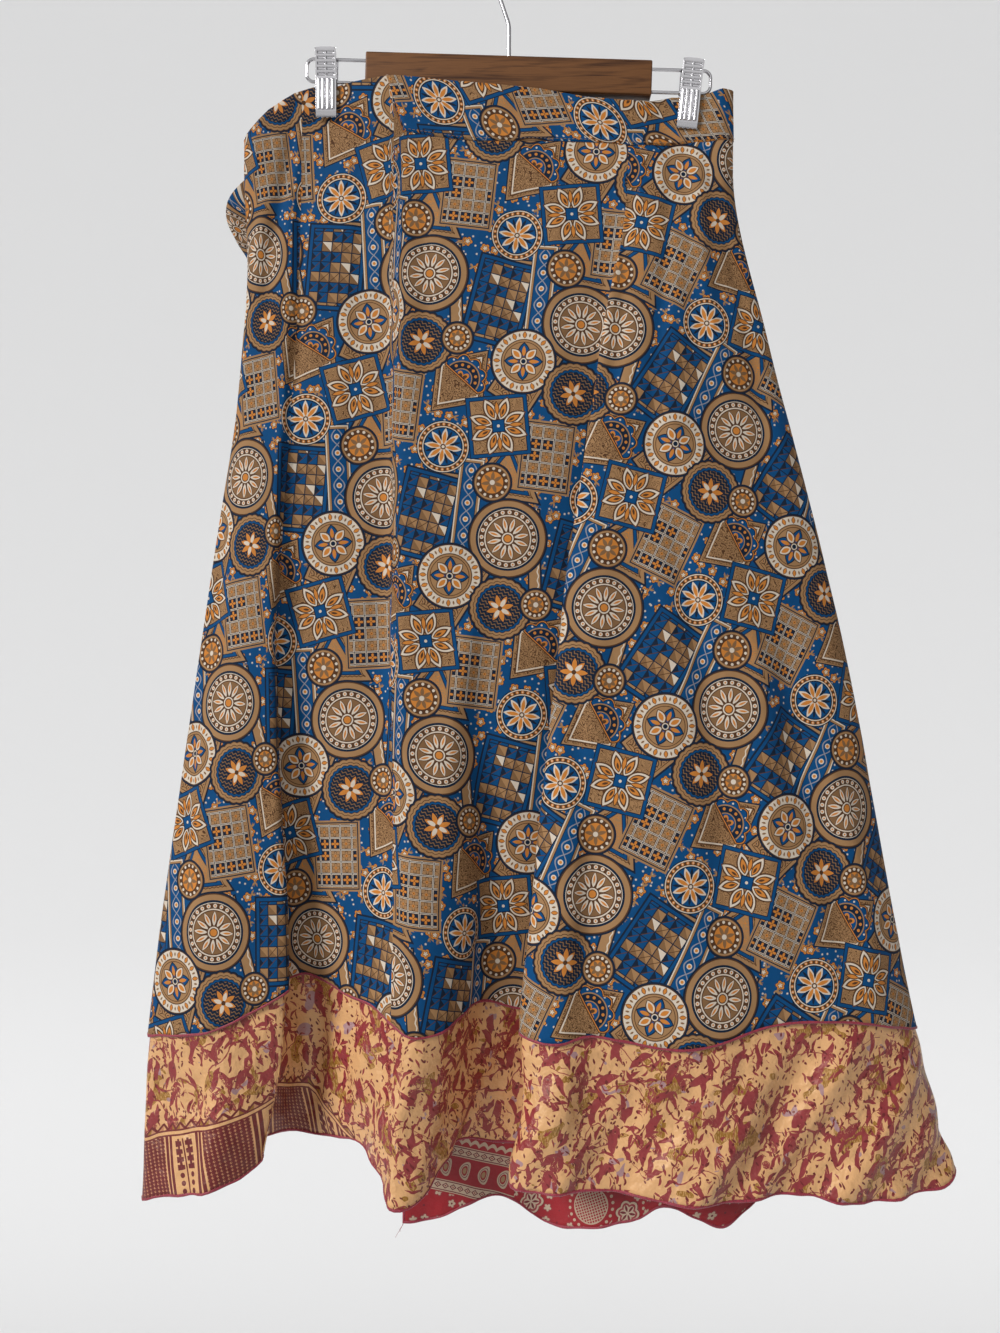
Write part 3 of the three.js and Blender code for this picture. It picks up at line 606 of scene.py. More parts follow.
def add_node(tree, kind, *values, **settings):
    """A new node with its settings and its first inputs, each linked from an output or set."""
    made = tree.nodes.new(kind)
    for key, value in settings.items():
        setattr(made, key, value)
    for slot, value in zip(made.inputs, values):
        if hasattr(value, "is_output"):
            tree.links.new(value, slot)
        else:
            slot.default_value = value
    return made


def noise_node(tree, vector, scale, detail, distortion):
    made = tree.nodes.new("ShaderNodeTexNoise")
    set_inputs(made, {"Scale": scale, "Detail": detail, "Distortion": distortion})
    tree.links.new(vector, made.inputs["Vector"])
    return made


def set_inputs(node, values):
    for name, value in values.items():
        node.inputs[name].default_value = value


class Drawing:
    """A material's flat print: a colour that each motif is laid over in turn."""

    def __init__(self, tree, colour, vector):
        self.tree, self.colour, self.vector = tree, colour, vector

    def vector_math(self, operation, *vectors):
        return add_node(self.tree, "ShaderNodeVectorMath", *vectors, operation=operation).outputs["Vector"]

    def turned(self, vector, angle):
        """A vector turned about the sheet's own Z by a fixed angle or an Ink."""
        made = add_node(self.tree, "ShaderNodeVectorRotate", vector, rotation_type="Z_AXIS")
        if isinstance(angle, Ink):
            self.tree.links.new(angle.socket, made.inputs["Angle"])
        else:
            made.inputs["Angle"].default_value = angle
        return made.outputs["Vector"]

    def lay(self, mask, colour):
        mix = add_node(self.tree, "ShaderNodeMix", mask.socket, data_type="RGBA")
        for slot, value in ((mix.inputs[6], self.colour), (mix.inputs[7], colour)):
            if isinstance(value, tuple):
                slot.default_value = (*value, 1)
            else:
                self.tree.links.new(value, slot)
        self.colour = mix.outputs[2]

    def spot(self, x, y, turn=0.0, repeat=None):
        """A place at x, y on the sheet, turned in degrees, in each repeat of the print."""
        vector = self.vector_math("SUBTRACT", self.vector, (x, y, 0))
        if repeat:
            half = (repeat[0] / 2, repeat[1] / 2, 1)
            vector = self.vector_math("WRAP", vector, half, tuple(-h for h in half))
        return Spot(self, self.turned(vector, -math.radians(turn)) if turn else vector)

    def noise(self, scale, detail=2.0, vector=None, distortion=0.0):
        """Soft noise from 0 to 1, scale to the millimetre."""
        return noise_node(self.tree, vector or self.vector, scale, detail, distortion)

    def cloud(self, scale, detail=2.0, distortion=0.0):
        """The same noise as a number to draw with."""
        return Ink(self.tree, self.noise(scale, detail, None, distortion).outputs["Fac"])

    def random(self, spot):
        """A random number and vector for each whole place of a spot's cells."""
        return add_node(self.tree, "ShaderNodeTexWhiteNoise", spot, noise_dimensions="2D")


# ---- sizes and colours that a user may change ----

def length(name, description, value):
    return bpy.props.FloatProperty(
        name=name, description=description, default=value, min=0, unit="LENGTH", precision=5
    )


def colour(name, description, value):
    return bpy.props.FloatVectorProperty(
        name=name, description=description, default=value, size=3, min=0, max=1, subtype="COLOR"
    )


class SKIRT_PG_cloth(bpy.types.PropertyGroup):
    outer_thickness: length("Outer cloth", "Thickness of the printed crepe", 0.0006)
    under_thickness: length("Under cloth", "Thickness of the satin", 0.0005)
    band_thickness: length("Waistband", "Thickness of the folded waistband", 0.0017)
    tie_thickness: length("Tie", "Thickness of the folded tie", 0.0019)
    thread_width: length("Overlock", "How far the overlock stitching reaches over an edge", 0.0024)
    thread_pitch: length("Overlock pitch", "From one overlock stitch to the next", 0.0017)
    ripple: length("Hem ripple", "Height of the short waves along the hems", 0.0010)
    slack: length("Slack", "Height of the slow uneven waves of the cloth", 0.0008)


class SKIRT_PG_colours(bpy.types.PropertyGroup):
    blue: colour("Blue", "Ground of the print", srgb(0, 70, 120))
    navy: colour("Navy", "Outlines of the print", srgb(16, 32, 52))
    tan: colour("Tan", "Second ground of the print", srgb(160, 122, 83))
    brown: colour("Brown", "Fine lines on tan", srgb(84, 54, 32))
    cream: colour("Cream", "Petals and rims", srgb(212, 198, 180))
    rust: colour("Rust", "Gold and rust flowers", srgb(200, 126, 54))
    satin: colour("Satin", "Ground of the under layer", srgb(221, 169, 116))
    rose: colour("Rose", "Foliage on the satin", srgb(142, 44, 52))
    maroon: colour("Maroon", "Border and flecks on the satin", srgb(104, 10, 28))
    ochre: colour("Ochre", "Stained blooms on the satin", srgb(150, 104, 30))
    mauve: colour("Mauve", "Faint blooms on the satin", srgb(168, 130, 134))
    crimson: colour("Crimson", "Ground of the inner end", srgb(148, 6, 22))
    thread: colour("Thread", "Overlock thread", srgb(150, 38, 58))
    walnut: colour("Walnut", "The bar's middle tone", srgb(118, 77, 43))
    walnut_dark: colour("Dark walnut", "The bar's grain lines", srgb(60, 33, 17))
    chrome: colour("Chrome", "Clips, wires and hook", (0.66, 0.65, 0.67))


class SKIRT_PG_hanger(bpy.types.PropertyGroup):
    hook_wire: length("Hook wire", "Thickness of the hook's wire", 0.0035)
    loop_wire: length("Loop wire", "Thickness of the clips' wire loops", 0.0028)


class SKIRT_PG_stage(bpy.types.PropertyGroup):
    window: bpy.props.FloatProperty(
        name="Window", description="Soft light from the upper left", default=2.65, min=0
    )
    wall: colour("Wall", "Floor and wall", (0.80, 0.80, 0.80))
    world: bpy.props.FloatProperty(name="Room", description="Brightness all round", default=0.7, min=0)


def cloth_sizes():
    return bpy.context.scene.skirt_cloth


def ink_colour(key):
    """A colour of the skirt as a plain tuple."""
    return tuple(getattr(bpy.context.scene.skirt_colours, key))


def ink_colours(*keys):
    return [ink_colour(key) for key in keys]


def mixed(a, b, share):
    """Colour a with a share of b in it."""
    return tuple(p * (1 - share) + q * share for p, q in zip(a, b))


# ---- the layers ----

TUCK = 6.0                     # how far a layer's upper edge is sewn into the waistband
BAND_SLANT = (0.12, 0.96)      # where the waistband's slanted end starts, and how far it runs


def eased_rows(rows, crowding):
    """Shares down the cloth from 0 to 1, closer at the top where crowding is over 1."""
    return (np.arange(rows + 1) / rows)[:, None] ** crowding


def tucked_top(s):
    """The outer layer's upper edge, sewn into the waistband or, at the left, drawn to the top."""
    top = SKIRT.row_value("top", s)
    first = PLACE["middle_step"]
    start, run = BAND_SLANT
    upper, lower = RING[first].top, RING[first + 1].top
    slanted = upper + (lower - upper) * (s - first - start) / run + TUCK
    top = np.where((s < 0) | (s > first + 1), top + TUCK, top)
    return np.where((s >= first) & (s <= first + start + run), np.clip(slanted, lower + TUCK, upper), top)


# The heights at which each cloth's columns are spaced out evenly.
OUTER_LOW, UNDER_LOW, INNER_LOW, BAND_LOW = -860, -990, -1000, -190


def outer_surface(step=5.0, rows=118):
    """The outer layer's places, points and outward directions, from its free end round to its start."""
    sizes = cloth_sizes()
    s = SKIRT.places(FREE_END, BACK_END, step, OUTER_LOW)
    top, hem = tucked_top(s), SKIRT.row_value("hem", s, smooth=True)
    z = top + (hem - top) * eased_rows(rows, 1.1)
    points, outward = SKIRT.surface(s, z, overlap_lift(s))
    lengths = row_lengths(points)
    above = z - z[-1]
    ease = smooth_share((top - z) / 30)
    shift = -crease_depth(points, outward)
    shift += slack(lengths, z, sizes.slack / MM) * ease
    shift += hem_ripple(lengths, above, sizes.ripple / MM, 14)
    shift += 0.5 * np.sin(lengths / 2.1 + 2 * np.sin(lengths / 23)) * np.exp(-(top - z) / 16) * ease
    turned = smooth_share(np.minimum(np.abs(s), np.abs(s - RIGHT_SIDE)) * 1.5)
    return s, points + outward * (shift * (0.3 + 0.7 * turned))[..., None], outward


def under_surface(step=5.0, hidden_rows=20, flounce_rows=30):
    """The under layer's places, points and outward directions."""
    sizes = cloth_sizes()
    s = SKIRT.places(FREE_END, BACK_END, step, UNDER_LOW)
    hem, foot = SKIRT.row_value("hem", s, smooth=True), SKIRT.row_value("under_hem", s, smooth=True)
    start = hem + FLOUNCE_START
    hidden = UNDER_TOP + (start - UNDER_TOP) * eased_rows(hidden_rows, 1.0)
    flounce = start + (foot - start) * eased_rows(flounce_rows, 1.0)[1:]
    z = np.concatenate((hidden, flounce))
    points, outward = SKIRT.surface(s, z, np.where(s < 0, overlap_lift(s), 0) - layer_step(s))
    lengths = row_lengths(points)
    below = np.clip((hem - z) / 40, 0, 1)
    shift = -crease_depth(points, outward) * (1 - below)
    shift += slack(lengths + 40, z, sizes.slack * 2.2 / MM) * below
    shift += flounce_folds(lengths, z) * below
    shift += hem_ripple(lengths + 7, z - z[-1], sizes.ripple * 1.2 / MM, 12)
    return s, points + outward * shift[..., None], outward


def flounce_folds(lengths, z):
    """Soft upright flutes below the outer hem, uneven in width and depth."""
    lean = lengths + (z + 900) * 0.12 * np.sin(lengths / 83)
    return 3.1 * np.sin(lean / 15 + 1.9 * np.sin(lean / 47)) + 1.4 * np.sin(lean / 6.8 + np.sin(lean / 29))


def cloth_object(name, points, uvs, thickness):
    """One layer of cloth with its real thickness, from a grid of points on its middle."""
    quads = grid_quads(*points.shape[:2])
    made = mesh_object(name, points, quads, uvs(quads))
    apply_modifier(made, "SOLIDIFY", thickness=thickness, offset=0.0)
    return made


def surface_area(points):
    """A grid's area in square metres."""
    a, b = points[1:, 1:] - points[:-1, :-1], points[1:, :-1] - points[:-1, 1:]
    return np.linalg.norm(np.cross(a, b), axis=2).sum() / 2 * MM * MM


def placed(at, along, values):
    """Values of three columns read at places along a line."""
    return np.stack([np.interp(at, along, values[:, k]) for k in range(3)], -1)


def ring_round(middle, side, up, turn, across, tall):
    """Points of a ring round each of a row of places, across its side and tall along its up."""
    return (
        middle[:, None] + side[:, None] * (np.cos(turn) * across)[..., None]
        + up[:, None] * (np.sin(turn) * tall)[..., None]
    )


def edge_thread(name, edge, outward, inward, material):
    """Overlock stitching over a cloth's edge: a soft roll of thread wraps.

    outward is the cloth's own direction out of its face and inward the way from the edge into it.
    """
    width, pitch = cloth_sizes().thread_width / MM, cloth_sizes().thread_pitch / MM
    along = row_lengths(edge[None])[0]
    steps = int(along[-1] / pitch * 4)
    at = np.linspace(0, along[-1], steps)
    edge, outward, inward = (placed(at, along, values) for values in (edge, outward, inward))
    sides = 8
    turn = np.linspace(0, 2 * math.pi, sides, endpoint=False)
    wrap = 1 + 0.2 * np.cos(2 * math.pi * at[:, None] / pitch + 0.8 * np.sin(turn))
    uneven = 1 + 0.12 * np.sin(at / 7.3)[:, None] + 0.08 * np.sin(at / 2.9)[:, None]
    tall, thick = width / 2 * uneven, 0.75 * wrap
    ring = ring_round(edge + inward * (width * 0.30), -inward, outward, turn, tall, thick)
    points = ring.transpose(1, 0, 2)
    quads = grid_quads(sides, steps, wrap=True).reshape(-1, 4)[:, ::-1]
    made = mesh_object(name, points, quads)
    close_ends(made)
    return finish_piece(made, material)


def close_ends(made):
    """Fills every open loop of a tube's mesh."""
    pick(made)
    bpy.ops.object.mode_set(mode="EDIT")
    bpy.ops.mesh.select_all(action="SELECT")
    bpy.ops.mesh.fill_holes(sides=0)
    bpy.ops.mesh.select_all(action="SELECT")
    bpy.ops.mesh.normals_make_consistent(inside=False)
    bpy.ops.object.mode_set(mode="OBJECT")
    made.select_set(False)


def unit(vectors):
    return vectors / np.maximum(np.linalg.norm(vectors, axis=-1, keepdims=True), 1e-9)


# How far each loose thread reaches from its corner.
INNER_THREADS = ((-5, -1, -11), (-2.5, 1, -8))
TIE_THREADS = ((-5, -1, -3), (-4, 0, -7), (-2, 1, -9))


def loose_threads(name, start, reaches, material):
    """Cut ends of thread that hang from a corner, curling a little."""
    made = []
    for number, reach in enumerate(reaches):
        share = np.linspace(0, 1, 16)[:, None]
        curl = np.sin(share * (5 + 2 * number)) * (0.9, 0.5, 0.4)
        line = start + share * reach + curl
        thread = tube(f"{name}_{number + 1}", line, 0.16, 5)
        made.append(finish_piece(thread, material))
    return made


def hang_cloth(prefix, points, outward):
    """Overlocks a hung cloth's hem and free edge."""
    thread = sewing_thread("thread")
    into = unit(points[-2] - points[-1])
    hem = edge_thread(f"{prefix}_hem_thread", points[-1], outward[-1], into, thread)
    into = unit(points[:, 1] - points[:, 0])
    edge = edge_thread(f"{prefix}_edge_thread", points[:, 0], outward[:, 0], into, thread)
    surface_area(points)


class SKIRT_OT_outer_layer(bpy.types.Operator):
    """Make the printed outer layer with its overlocked hem and free edge"""

    bl_idname = "skirt.outer_layer"
    bl_label = "Outer layer"

    def execute(self, context):
        s, points, outward = outer_surface()

        def uvs(quads):
            return {
                "print": print_corners(s, points, OUTER_PANELS),
                "edge": corner_uvs(quads, edge_corners(points)),
            }

        cloth = cloth_object("outer_layer", points, uvs, cloth_sizes().outer_thickness)
        finish_piece(
            cloth, printed_crepe(), ("outer_front", "outer_back", "overlap_outer")
        )
        hang_cloth(
            "outer", points, outward,
        )
        return {"FINISHED"}


class SKIRT_OT_under_layer(bpy.types.Operator):
    """Make the satin under layer with its flounce and border"""

    bl_idname = "skirt.under_layer"
    bl_label = "Under layer"

    def execute(self, context):
        s, points, outward = under_surface()

        def uvs(quads):
            return {
                "print": print_corners(s, points, UNDER_PANELS),
                "edge": corner_uvs(quads, border_place(s, points)),
            }

        cloth = cloth_object("under_layer", points, uvs, cloth_sizes().under_thickness)
        finish_piece(cloth, gold_satin(), ("under_front", "under_back", "overlap_under"))
        hang_cloth("under", points, outward)
        return {"FINISHED"}


# How far the border's upper line is above the hem at each of these folds; the hem's curve cuts
# it off to the right.
BORDER_LINE = (
    ("left_side", 51), ("left_round", 52), ("left_lip", 52), ("left_hollow", 42),
    ("left_hollow_2", 20), ("middle_rise", 2), ("middle_step", -60),
)


def border_place(s, points):
    """Flat place of each point along the border and below its upper line, in decimetres."""
    flat = edge_corners(points)
    folds = [PLACE[name] for name, _ in BORDER_LINE]
    high = np.interp(s, [-4, *folds, 12], [-60, *[value for _, value in BORDER_LINE], -60])
    high = np.where(s < 0, np.interp(s, [FREE_END, 0], [51, 51]), high)
    flat[..., 1] = high / 100 - flat[..., 1]
    return flat


INNER_SHOWN = -930             # the inner end's rows are closer below this height


class SKIRT_OT_inner_end(bpy.types.Operator):
    """Make the wrap's crimson inner end, which hangs free behind the front panel"""

    bl_idname = "skirt.inner_end"
    bl_label = "Inner end"

    def execute(self, context):
        sizes = cloth_sizes()
        s = LINER.places(0, len(INNER_END) - 1, 3.0, INNER_LOW)
        hem = LINER.row_value("hem", s, smooth=True)
        upper = INNER_HEIGHTS[0] + (INNER_SHOWN - INNER_HEIGHTS[0]) * eased_rows(20, 1.0)
        lower = INNER_SHOWN + (hem - INNER_SHOWN) * eased_rows(30, 1.0)[1:]
        z = np.concatenate((np.broadcast_to(upper, (21, len(s))), lower))
        points, outward = LINER.surface(s, z)
        lengths = row_lengths(points)
        shift = slack(lengths + 90, z, sizes.slack / MM) * np.clip((-900 - z) / 60, 0, 1)
        shift += hem_ripple(lengths, z - z[-1], sizes.ripple * 1.3 / MM, 14)
        points += outward * shift[..., None]
        flat = np.stack((lengths + points[:, :1, 0], z), -1) / 100
        cloth = cloth_object(
            "inner_end_cloth", points, lambda quads: {"print": corner_uvs(quads, flat)},
            sizes.under_thickness,
        )
        finish_piece(cloth, crimson_crepe(), ("inner_end",))
        loose = loose_threads(
            "inner_loose_thread", points[-1, 0], INNER_THREADS, sewing_thread("thread")
        )
        hang_cloth("inner", points, outward)
        return {"FINISHED"}


# ---- waistband and tie ----

def folded_band(name, points, outward, thickness, uv_turn=0.0, uv_shift=(0, 0)):
    """A band of cloth folded double over its upper edge, from a grid on its middle."""
    lengths = row_lengths(points)
    half = thickness / MM / 2
    front, back = points + outward * half, points - outward * half
    roll = np.radians([26, 51, 77, 103, 129, 154])[:, None, None]
    top = points[:1] + np.cos(roll) * outward[:1] * half + np.sin(roll) * np.array((0, 0, half))
    shell = np.concatenate((front[::-1], top, back))
    z = points[:, :, 2]
    middle = z[:1] + half * (math.pi / 2)
    flat_z = np.concatenate((z[::-1], np.broadcast_to(middle, (len(roll), z.shape[1])), 2 * z[:1] - z))
    flat_x = np.concatenate((lengths[::-1], np.repeat(lengths[:1], len(roll), 0), lengths))
    flat = turned_flat(flat_x, flat_z, uv_turn, uv_shift)
    rows, columns = shell.shape[:2]
    k = np.arange(rows // 2 - 1)
    cap = np.stack((k, k + 1, rows - 2 - k, rows - 1 - k), -1) * columns
    faces = grid_quads(rows, columns, wrap=True)[..., ::-1].reshape(-1, 4)
    quads = np.concatenate((faces, cap, cap + columns - 1))
    made = mesh_object(name, shell, quads, {"print": corner_uvs(quads, flat)})
    close_ends(made)
    return made


def band_grid(start, end, step, rows=12, slant_from=None):
    """A stretch of the waistband's middle, rows from its upper edge down to the seam."""
    s = SKIRT.places(start, end, step, BAND_LOW)
    down = (np.arange(rows + 1) / rows)[:, None]
    places = np.broadcast_to(s, (rows + 1, len(s)))
    if slant_from is not None:
        places = s + np.clip(1 - (s - slant_from) / 3, 0, 1) * (BAND_SLANT[0] + BAND_SLANT[1] * down)
    upper = np.stack([SKIRT.row_value("band", row) for row in places])
    floor_from = places if slant_from is None else np.maximum(places, slant_from + 1)
    lower = np.stack([SKIRT.row_value("top", row) for row in floor_from]) + SEAM_GAP
    z = upper + (lower - upper) * down
    points, outward = np.zeros((*z.shape, 3)), np.zeros((*z.shape, 3))
    for row in range(rows + 1):
        at, out = SKIRT.surface(places[row], z[row : row + 1], overlap_lift(places[row]) / 2)
        points[row], outward[row] = at[0], out[0]
    lengths = row_lengths(points)
    pucker = 0.25 * np.sin(lengths / 3.1 + 2 * np.sin(lengths / 19)) * (0.3 + down)
    pucker += 0.45 * np.sin(lengths / 13 + 3 * down + 1.4 * np.sin(lengths / 41))
    pucker *= smooth_share((1 - down) * 3 + 0.15)
    return points + outward * pucker[..., None], outward


class SKIRT_OT_waistband(bpy.types.Operator):
    """Make the waistband and its free end, with their rows of stitching"""

    bl_idname = "skirt.waistband"
    bl_label = "Waistband"

    def execute(self, context):
        thickness = cloth_sizes().band_thickness
        first = PLACE["middle_step"]
        stretches = {
            "waistband": (band_grid(first, BACK_END, 3.0, slant_from=first), 8, (30, 60)),
            "waistband_end": (band_grid(FREE_END, -0.05, 4.0), 5, (70, 0)),
        }
        stands_for = {"waistband": ("waistband_front", "waistband_back"), "waistband_end": ("waistband_end",)}
        for node, ((points, outward), turn, shift) in stretches.items():
            band = folded_band(f"{node}_cloth", points, outward, thickness, turn, shift)
            finish_piece(band, printed_crepe(), stands_for[node])
            seam = points[-1] + np.array((0, 0, 2.2)) + outward[-1] * (thickness / MM / 2 + 0.05)
            stitches = stitch_row(f"{node}_stitches", seam, outward[-1])
            surface_area(points)
        return {"FINISHED"}


def stitch_row(name, line, outward, pitch=3.2, size=(1.15, 0.22)):
    """A row of small sewn stitches along a line of points, each a short rounded bead of thread."""
    along = row_lengths(line[None])[0]
    starts = np.arange(pitch, along[-1] - pitch, pitch)
    middle = placed(starts, along, line)
    out = unit(placed(starts, along, outward))
    way = unit(placed(starts + 0.5, along, line) - middle)
    side = unit(np.cross(out, way))
    half, radius = size
    shape = ((-half, 0.0), (-half * 0.7, radius * 0.8), (0, radius), (half * 0.7, radius * 0.8), (half, 0.0))
    turns = np.arange(6) * math.pi / 3
    rings = [ring_round(middle + way * a, out, side, turns, b, b) for a, b in shape]
    points = np.stack(rings, 1)
    count, loops, sides = points.shape[:3]
    first = (np.arange(count) * loops * sides)[:, None, None]
    ring, k = np.meshgrid(np.arange(loops - 1), np.arange(sides), indexing="ij")
    corners = np.stack((
        ring * sides + k, ring * sides + (k + 1) % sides,
        (ring + 1) * sides + (k + 1) % sides, (ring + 1) * sides + k,
    ), -1).reshape(1, -1, 4)
    made = mesh_object(name, points, (corners + first).reshape(-1, 4))
    apply_modifier(made, "WELD", merge_threshold=0.00001)      # the beads' points at their poles
    return finish_piece(made, sewing_thread("tan"))


class SKIRT_OT_tie(bpy.types.Operator):
    """Make the tie that loops behind the left side"""

    bl_idname = "skirt.tie"
    bl_label = "Tie"

    def execute(self, context):
        thickness = cloth_sizes().tie_thickness
        knots = np.arange(len(TIE))
        steps = 90
        at = np.linspace(0, len(TIE) - 1, steps + 1)
        line = smooth_line(TIE[:, :3], at)
        width = np.interp(at, knots, TIE[:, 3])
        way = unit(np.gradient(line, axis=0) * (1, 0, 1))
        across = np.stack((-way[:, 2], 0 * way[:, 0], way[:, 0]), -1)
        share = np.linspace(-0.5, 0.5, 13)[:, None, None]
        points = line + across * width[:, None] * share
        bend = np.exp(-((at - 4.2) / 0.8) ** 2)
        points[..., 1] += 1.3 * bend * np.cos(share[..., 0] * 6) + 0.5 * np.sin(at * 3 + share[..., 0] * 5)
        outward = np.zeros_like(points)
        outward[..., 1] = 1
        band = folded_band("tie_cloth", points, outward, thickness, 62, (10, 40))
        finish_piece(band, printed_crepe(), ("tie",))
        seam = points[1] + outward[1] * (thickness / MM / 2)
        stitches = stitch_row("tie_stitches", seam, outward[1])
        foot = points[:, -1]
        loose = loose_threads(
            "tie_loose_thread", foot[foot[:, 0].argmin()], TIE_THREADS, sewing_thread("navy"),
        )
        surface_area(points)
        return {"FINISHED"}


def smooth_line(knots, at):
    """Points on a smooth curve through the knots, at places counted in knots."""
    first = np.clip(np.floor(at).astype(int), 0, len(knots) - 2)
    t = (at - first)[:, None]

    def knot(k):
        return knots[np.clip(first + k, 0, len(knots) - 1)]

    return smooth_value(knot, t)


# ---- the patchwork print ----
# A repeat of traditional patchwork: rosettes, stars, checks, lattice, scales and vines, each
# laid over the last. Lengths are millimetres on the flat cloth.

REPEAT = (128.0, 180.0)


class PrintColours(NamedTuple):
    blue: tuple
    navy: tuple
    tan: tuple
    toast: tuple
    brown: tuple
    cream: tuple
    rust: tuple
    sky: tuple


def print_colours():
    tan, brown, blue, cream = (ink_colour(key) for key in ("tan", "brown", "blue", "cream"))
    return PrintColours(
        blue, ink_colour("navy"), tan, mixed(tan, brown, 0.5), brown, cream,
        ink_colour("rust"), mixed(blue, cream, 0.4),
    )


OUTLINE = 1.5


def nest(art, edge, bands, outline=None):
    """Lays one colour inside the next; edge is below 0 inside the shape, in millimetres."""
    if outline:
        art.lay(edge.below(OUTLINE), outline)
    for inset, fill in bands:
        art.lay(edge.below(-inset), fill)


def inlay(art, inside, layers):
    """Lays each colour over its mask, only within the patch."""
    for mask, fill in layers:
        art.lay(mask * inside, fill)


def curls(art, mask, fill, scale=0.12):
    """Fine scrolling lines, as on an engraved ground."""
    line = abs((art.cloud(scale, 0.0, 1.4) * 10).fraction() - 0.5)
    art.lay(line.below(0.13) * mask, fill)


def box_edge(spot, half_width, half_height):
    return (abs(spot.x) - half_width).most(abs(spot.y) - half_height)


def cells(art, spot, size):
    """The spot's plane cut into square cells: a place round each cell's middle, and a random
    number for each."""
    def joined(x, y):
        return add_node(art.tree, "ShaderNodeCombineXYZ", x.socket, y.socket).outputs[0]

    cell = joined((spot.x / size + 0.5).floor(), (spot.y / size + 0.5).floor())
    chance = Ink(art.tree, art.random(cell).outputs["Value"])
    return Spot(art, joined(spot.x.wrap(size / 2), spot.y.wrap(size / 2))), chance


def beads(art, spot, radius, count, size, fill, inside=None):
    """A ring of round beads."""
    step = 2 * math.pi / count
    across = abs(spot.a.wrap(step / 2)) * radius
    out = spot.r - radius
    mask = (across * across + out * out).below(size * size)
    art.lay(mask if inside is None else mask * inside, fill)


def petals(art, spot, count, start, end, width, fill, turn=0.0):
    """A ring of pointed petals from radius start to end, each width wide at its middle."""
    angle = spot.a if not turn else spot.a + turn
    across = abs(angle.wrap(math.pi / count)) * spot.r
    share = (spot.r - start) / (end - start)
    swell = (share * (1 - share)) * (2 * width)
    art.lay(across.below(swell), fill)


def blossom(art, spot, rows):
    """Rings of petals laid over each other, a row of petals' own numbers for each."""
    for row in rows:
        petals(art, spot, *row)


def sprigged_ground(art, ink):
    """Blue ground strewn with small gold flowers, leaves and seeds."""
    seeds = add_node(art.tree, "ShaderNodeTexVoronoi", voronoi_dimensions="2D")
    seeds.inputs["Scale"].default_value = 1 / 7.5
    art.tree.links.new(art.vector, seeds.inputs["Vector"])
    distance = Ink(art.tree, seeds.outputs["Distance"])
    art.lay(distance.below(0.13), ink.sky)
    art.lay(distance.below(0.075), ink.cream)
    for shift, size in (((0, 0), 17.0), ((9, 5), 23.0)):
        field = art.spot(*shift)
        local, chance = cells(art, field, size)
        moved = art.vector_math("ADD", local.vector, (1.5, -1.0, 0))
        bloom = Spot(art, art.turned(moved, chance * 6.3))
        lobe = bloom.r - abs((bloom.a * 2.5).cosine()) * 1.3
        nest(art, lobe - 2.5, ((-0.5, ink.navy), (0.0, ink.rust), (1.3, ink.toast), (2.0, ink.cream)))
        stem = abs(bloom.y - (bloom.x * 0.7).sine() * 0.6)
        art.lay(stem.below(0.42) * bloom.x.within(2.6, 7.5), ink.toast)
        leaf = abs(abs(bloom.y) - (bloom.x - 3.4) * 0.55)
        art.lay((leaf + abs(bloom.x - 5.4) * 0.45).below(1.0), ink.tan)


def check_patch(art, ink):
    """Half-square triangles in tan, cream and blue."""
    spot = art.spot(-38, 52, 4, REPEAT)
    edge = box_edge(spot, 22.5, 34.0)
    nest(art, edge, ((0.0, ink.blue), (2.4, ink.navy), (3.2, ink.tan)), ink.navy)
    inside = edge.below(-3.2)
    local, chance = cells(art, spot, 8.2)
    inlay(art, inside, (
        (chance.below(0.45), ink.blue),
        (chance.above(0.88), ink.cream),
    ))
    half = (local.x + local.y).below(0.0)
    inlay(art, inside, (
        (half * chance.above(0.45), ink.toast),
        (half * chance.below(0.45) * (local.x - local.y).below(0), ink.navy),
    ))
    cross = abs(local.x - local.y)
    art.lay(cross.below(0.4) * chance.below(0.6) * inside, ink.brown)
    line = abs(local.x).most(abs(local.y)).above(3.72)
    art.lay(line * inside, ink.navy)


def lattice_patch(art, ink):
    """Small square tiles, each with a four-petalled flower."""
    spot = art.spot(38, -53, 12, REPEAT)
    edge = box_edge(spot, 20.0, 27.0)
    nest(art, edge, ((0.0, ink.navy), (0.9, ink.tan)), ink.tan)
    inside = edge.below(-1.8)
    local, chance = cells(art, spot, 9.6)
    art.lay(chance.below(0.42) * inside, ink.navy)
    flower = local.r - abs((local.a * 2).cosine()) * 3.3
    inlay(art, inside, (
        (flower.below(0.8), ink.brown),
        (flower.below(0.1) * chance.below(0.42), ink.rust),
        (flower.below(0.1) * chance.above(0.42), ink.tan),
        (local.r.below(1.1), ink.rust),
        (local.r.below(0.5), ink.brown),
    ))
    frame_line = abs(local.x).most(abs(local.y))
    inlay(art, inside, (
        (frame_line.within(3.7, 4.1), ink.brown),
        (frame_line.above(4.1), ink.cream),
        (frame_line.above(4.55), ink.navy),
    ))


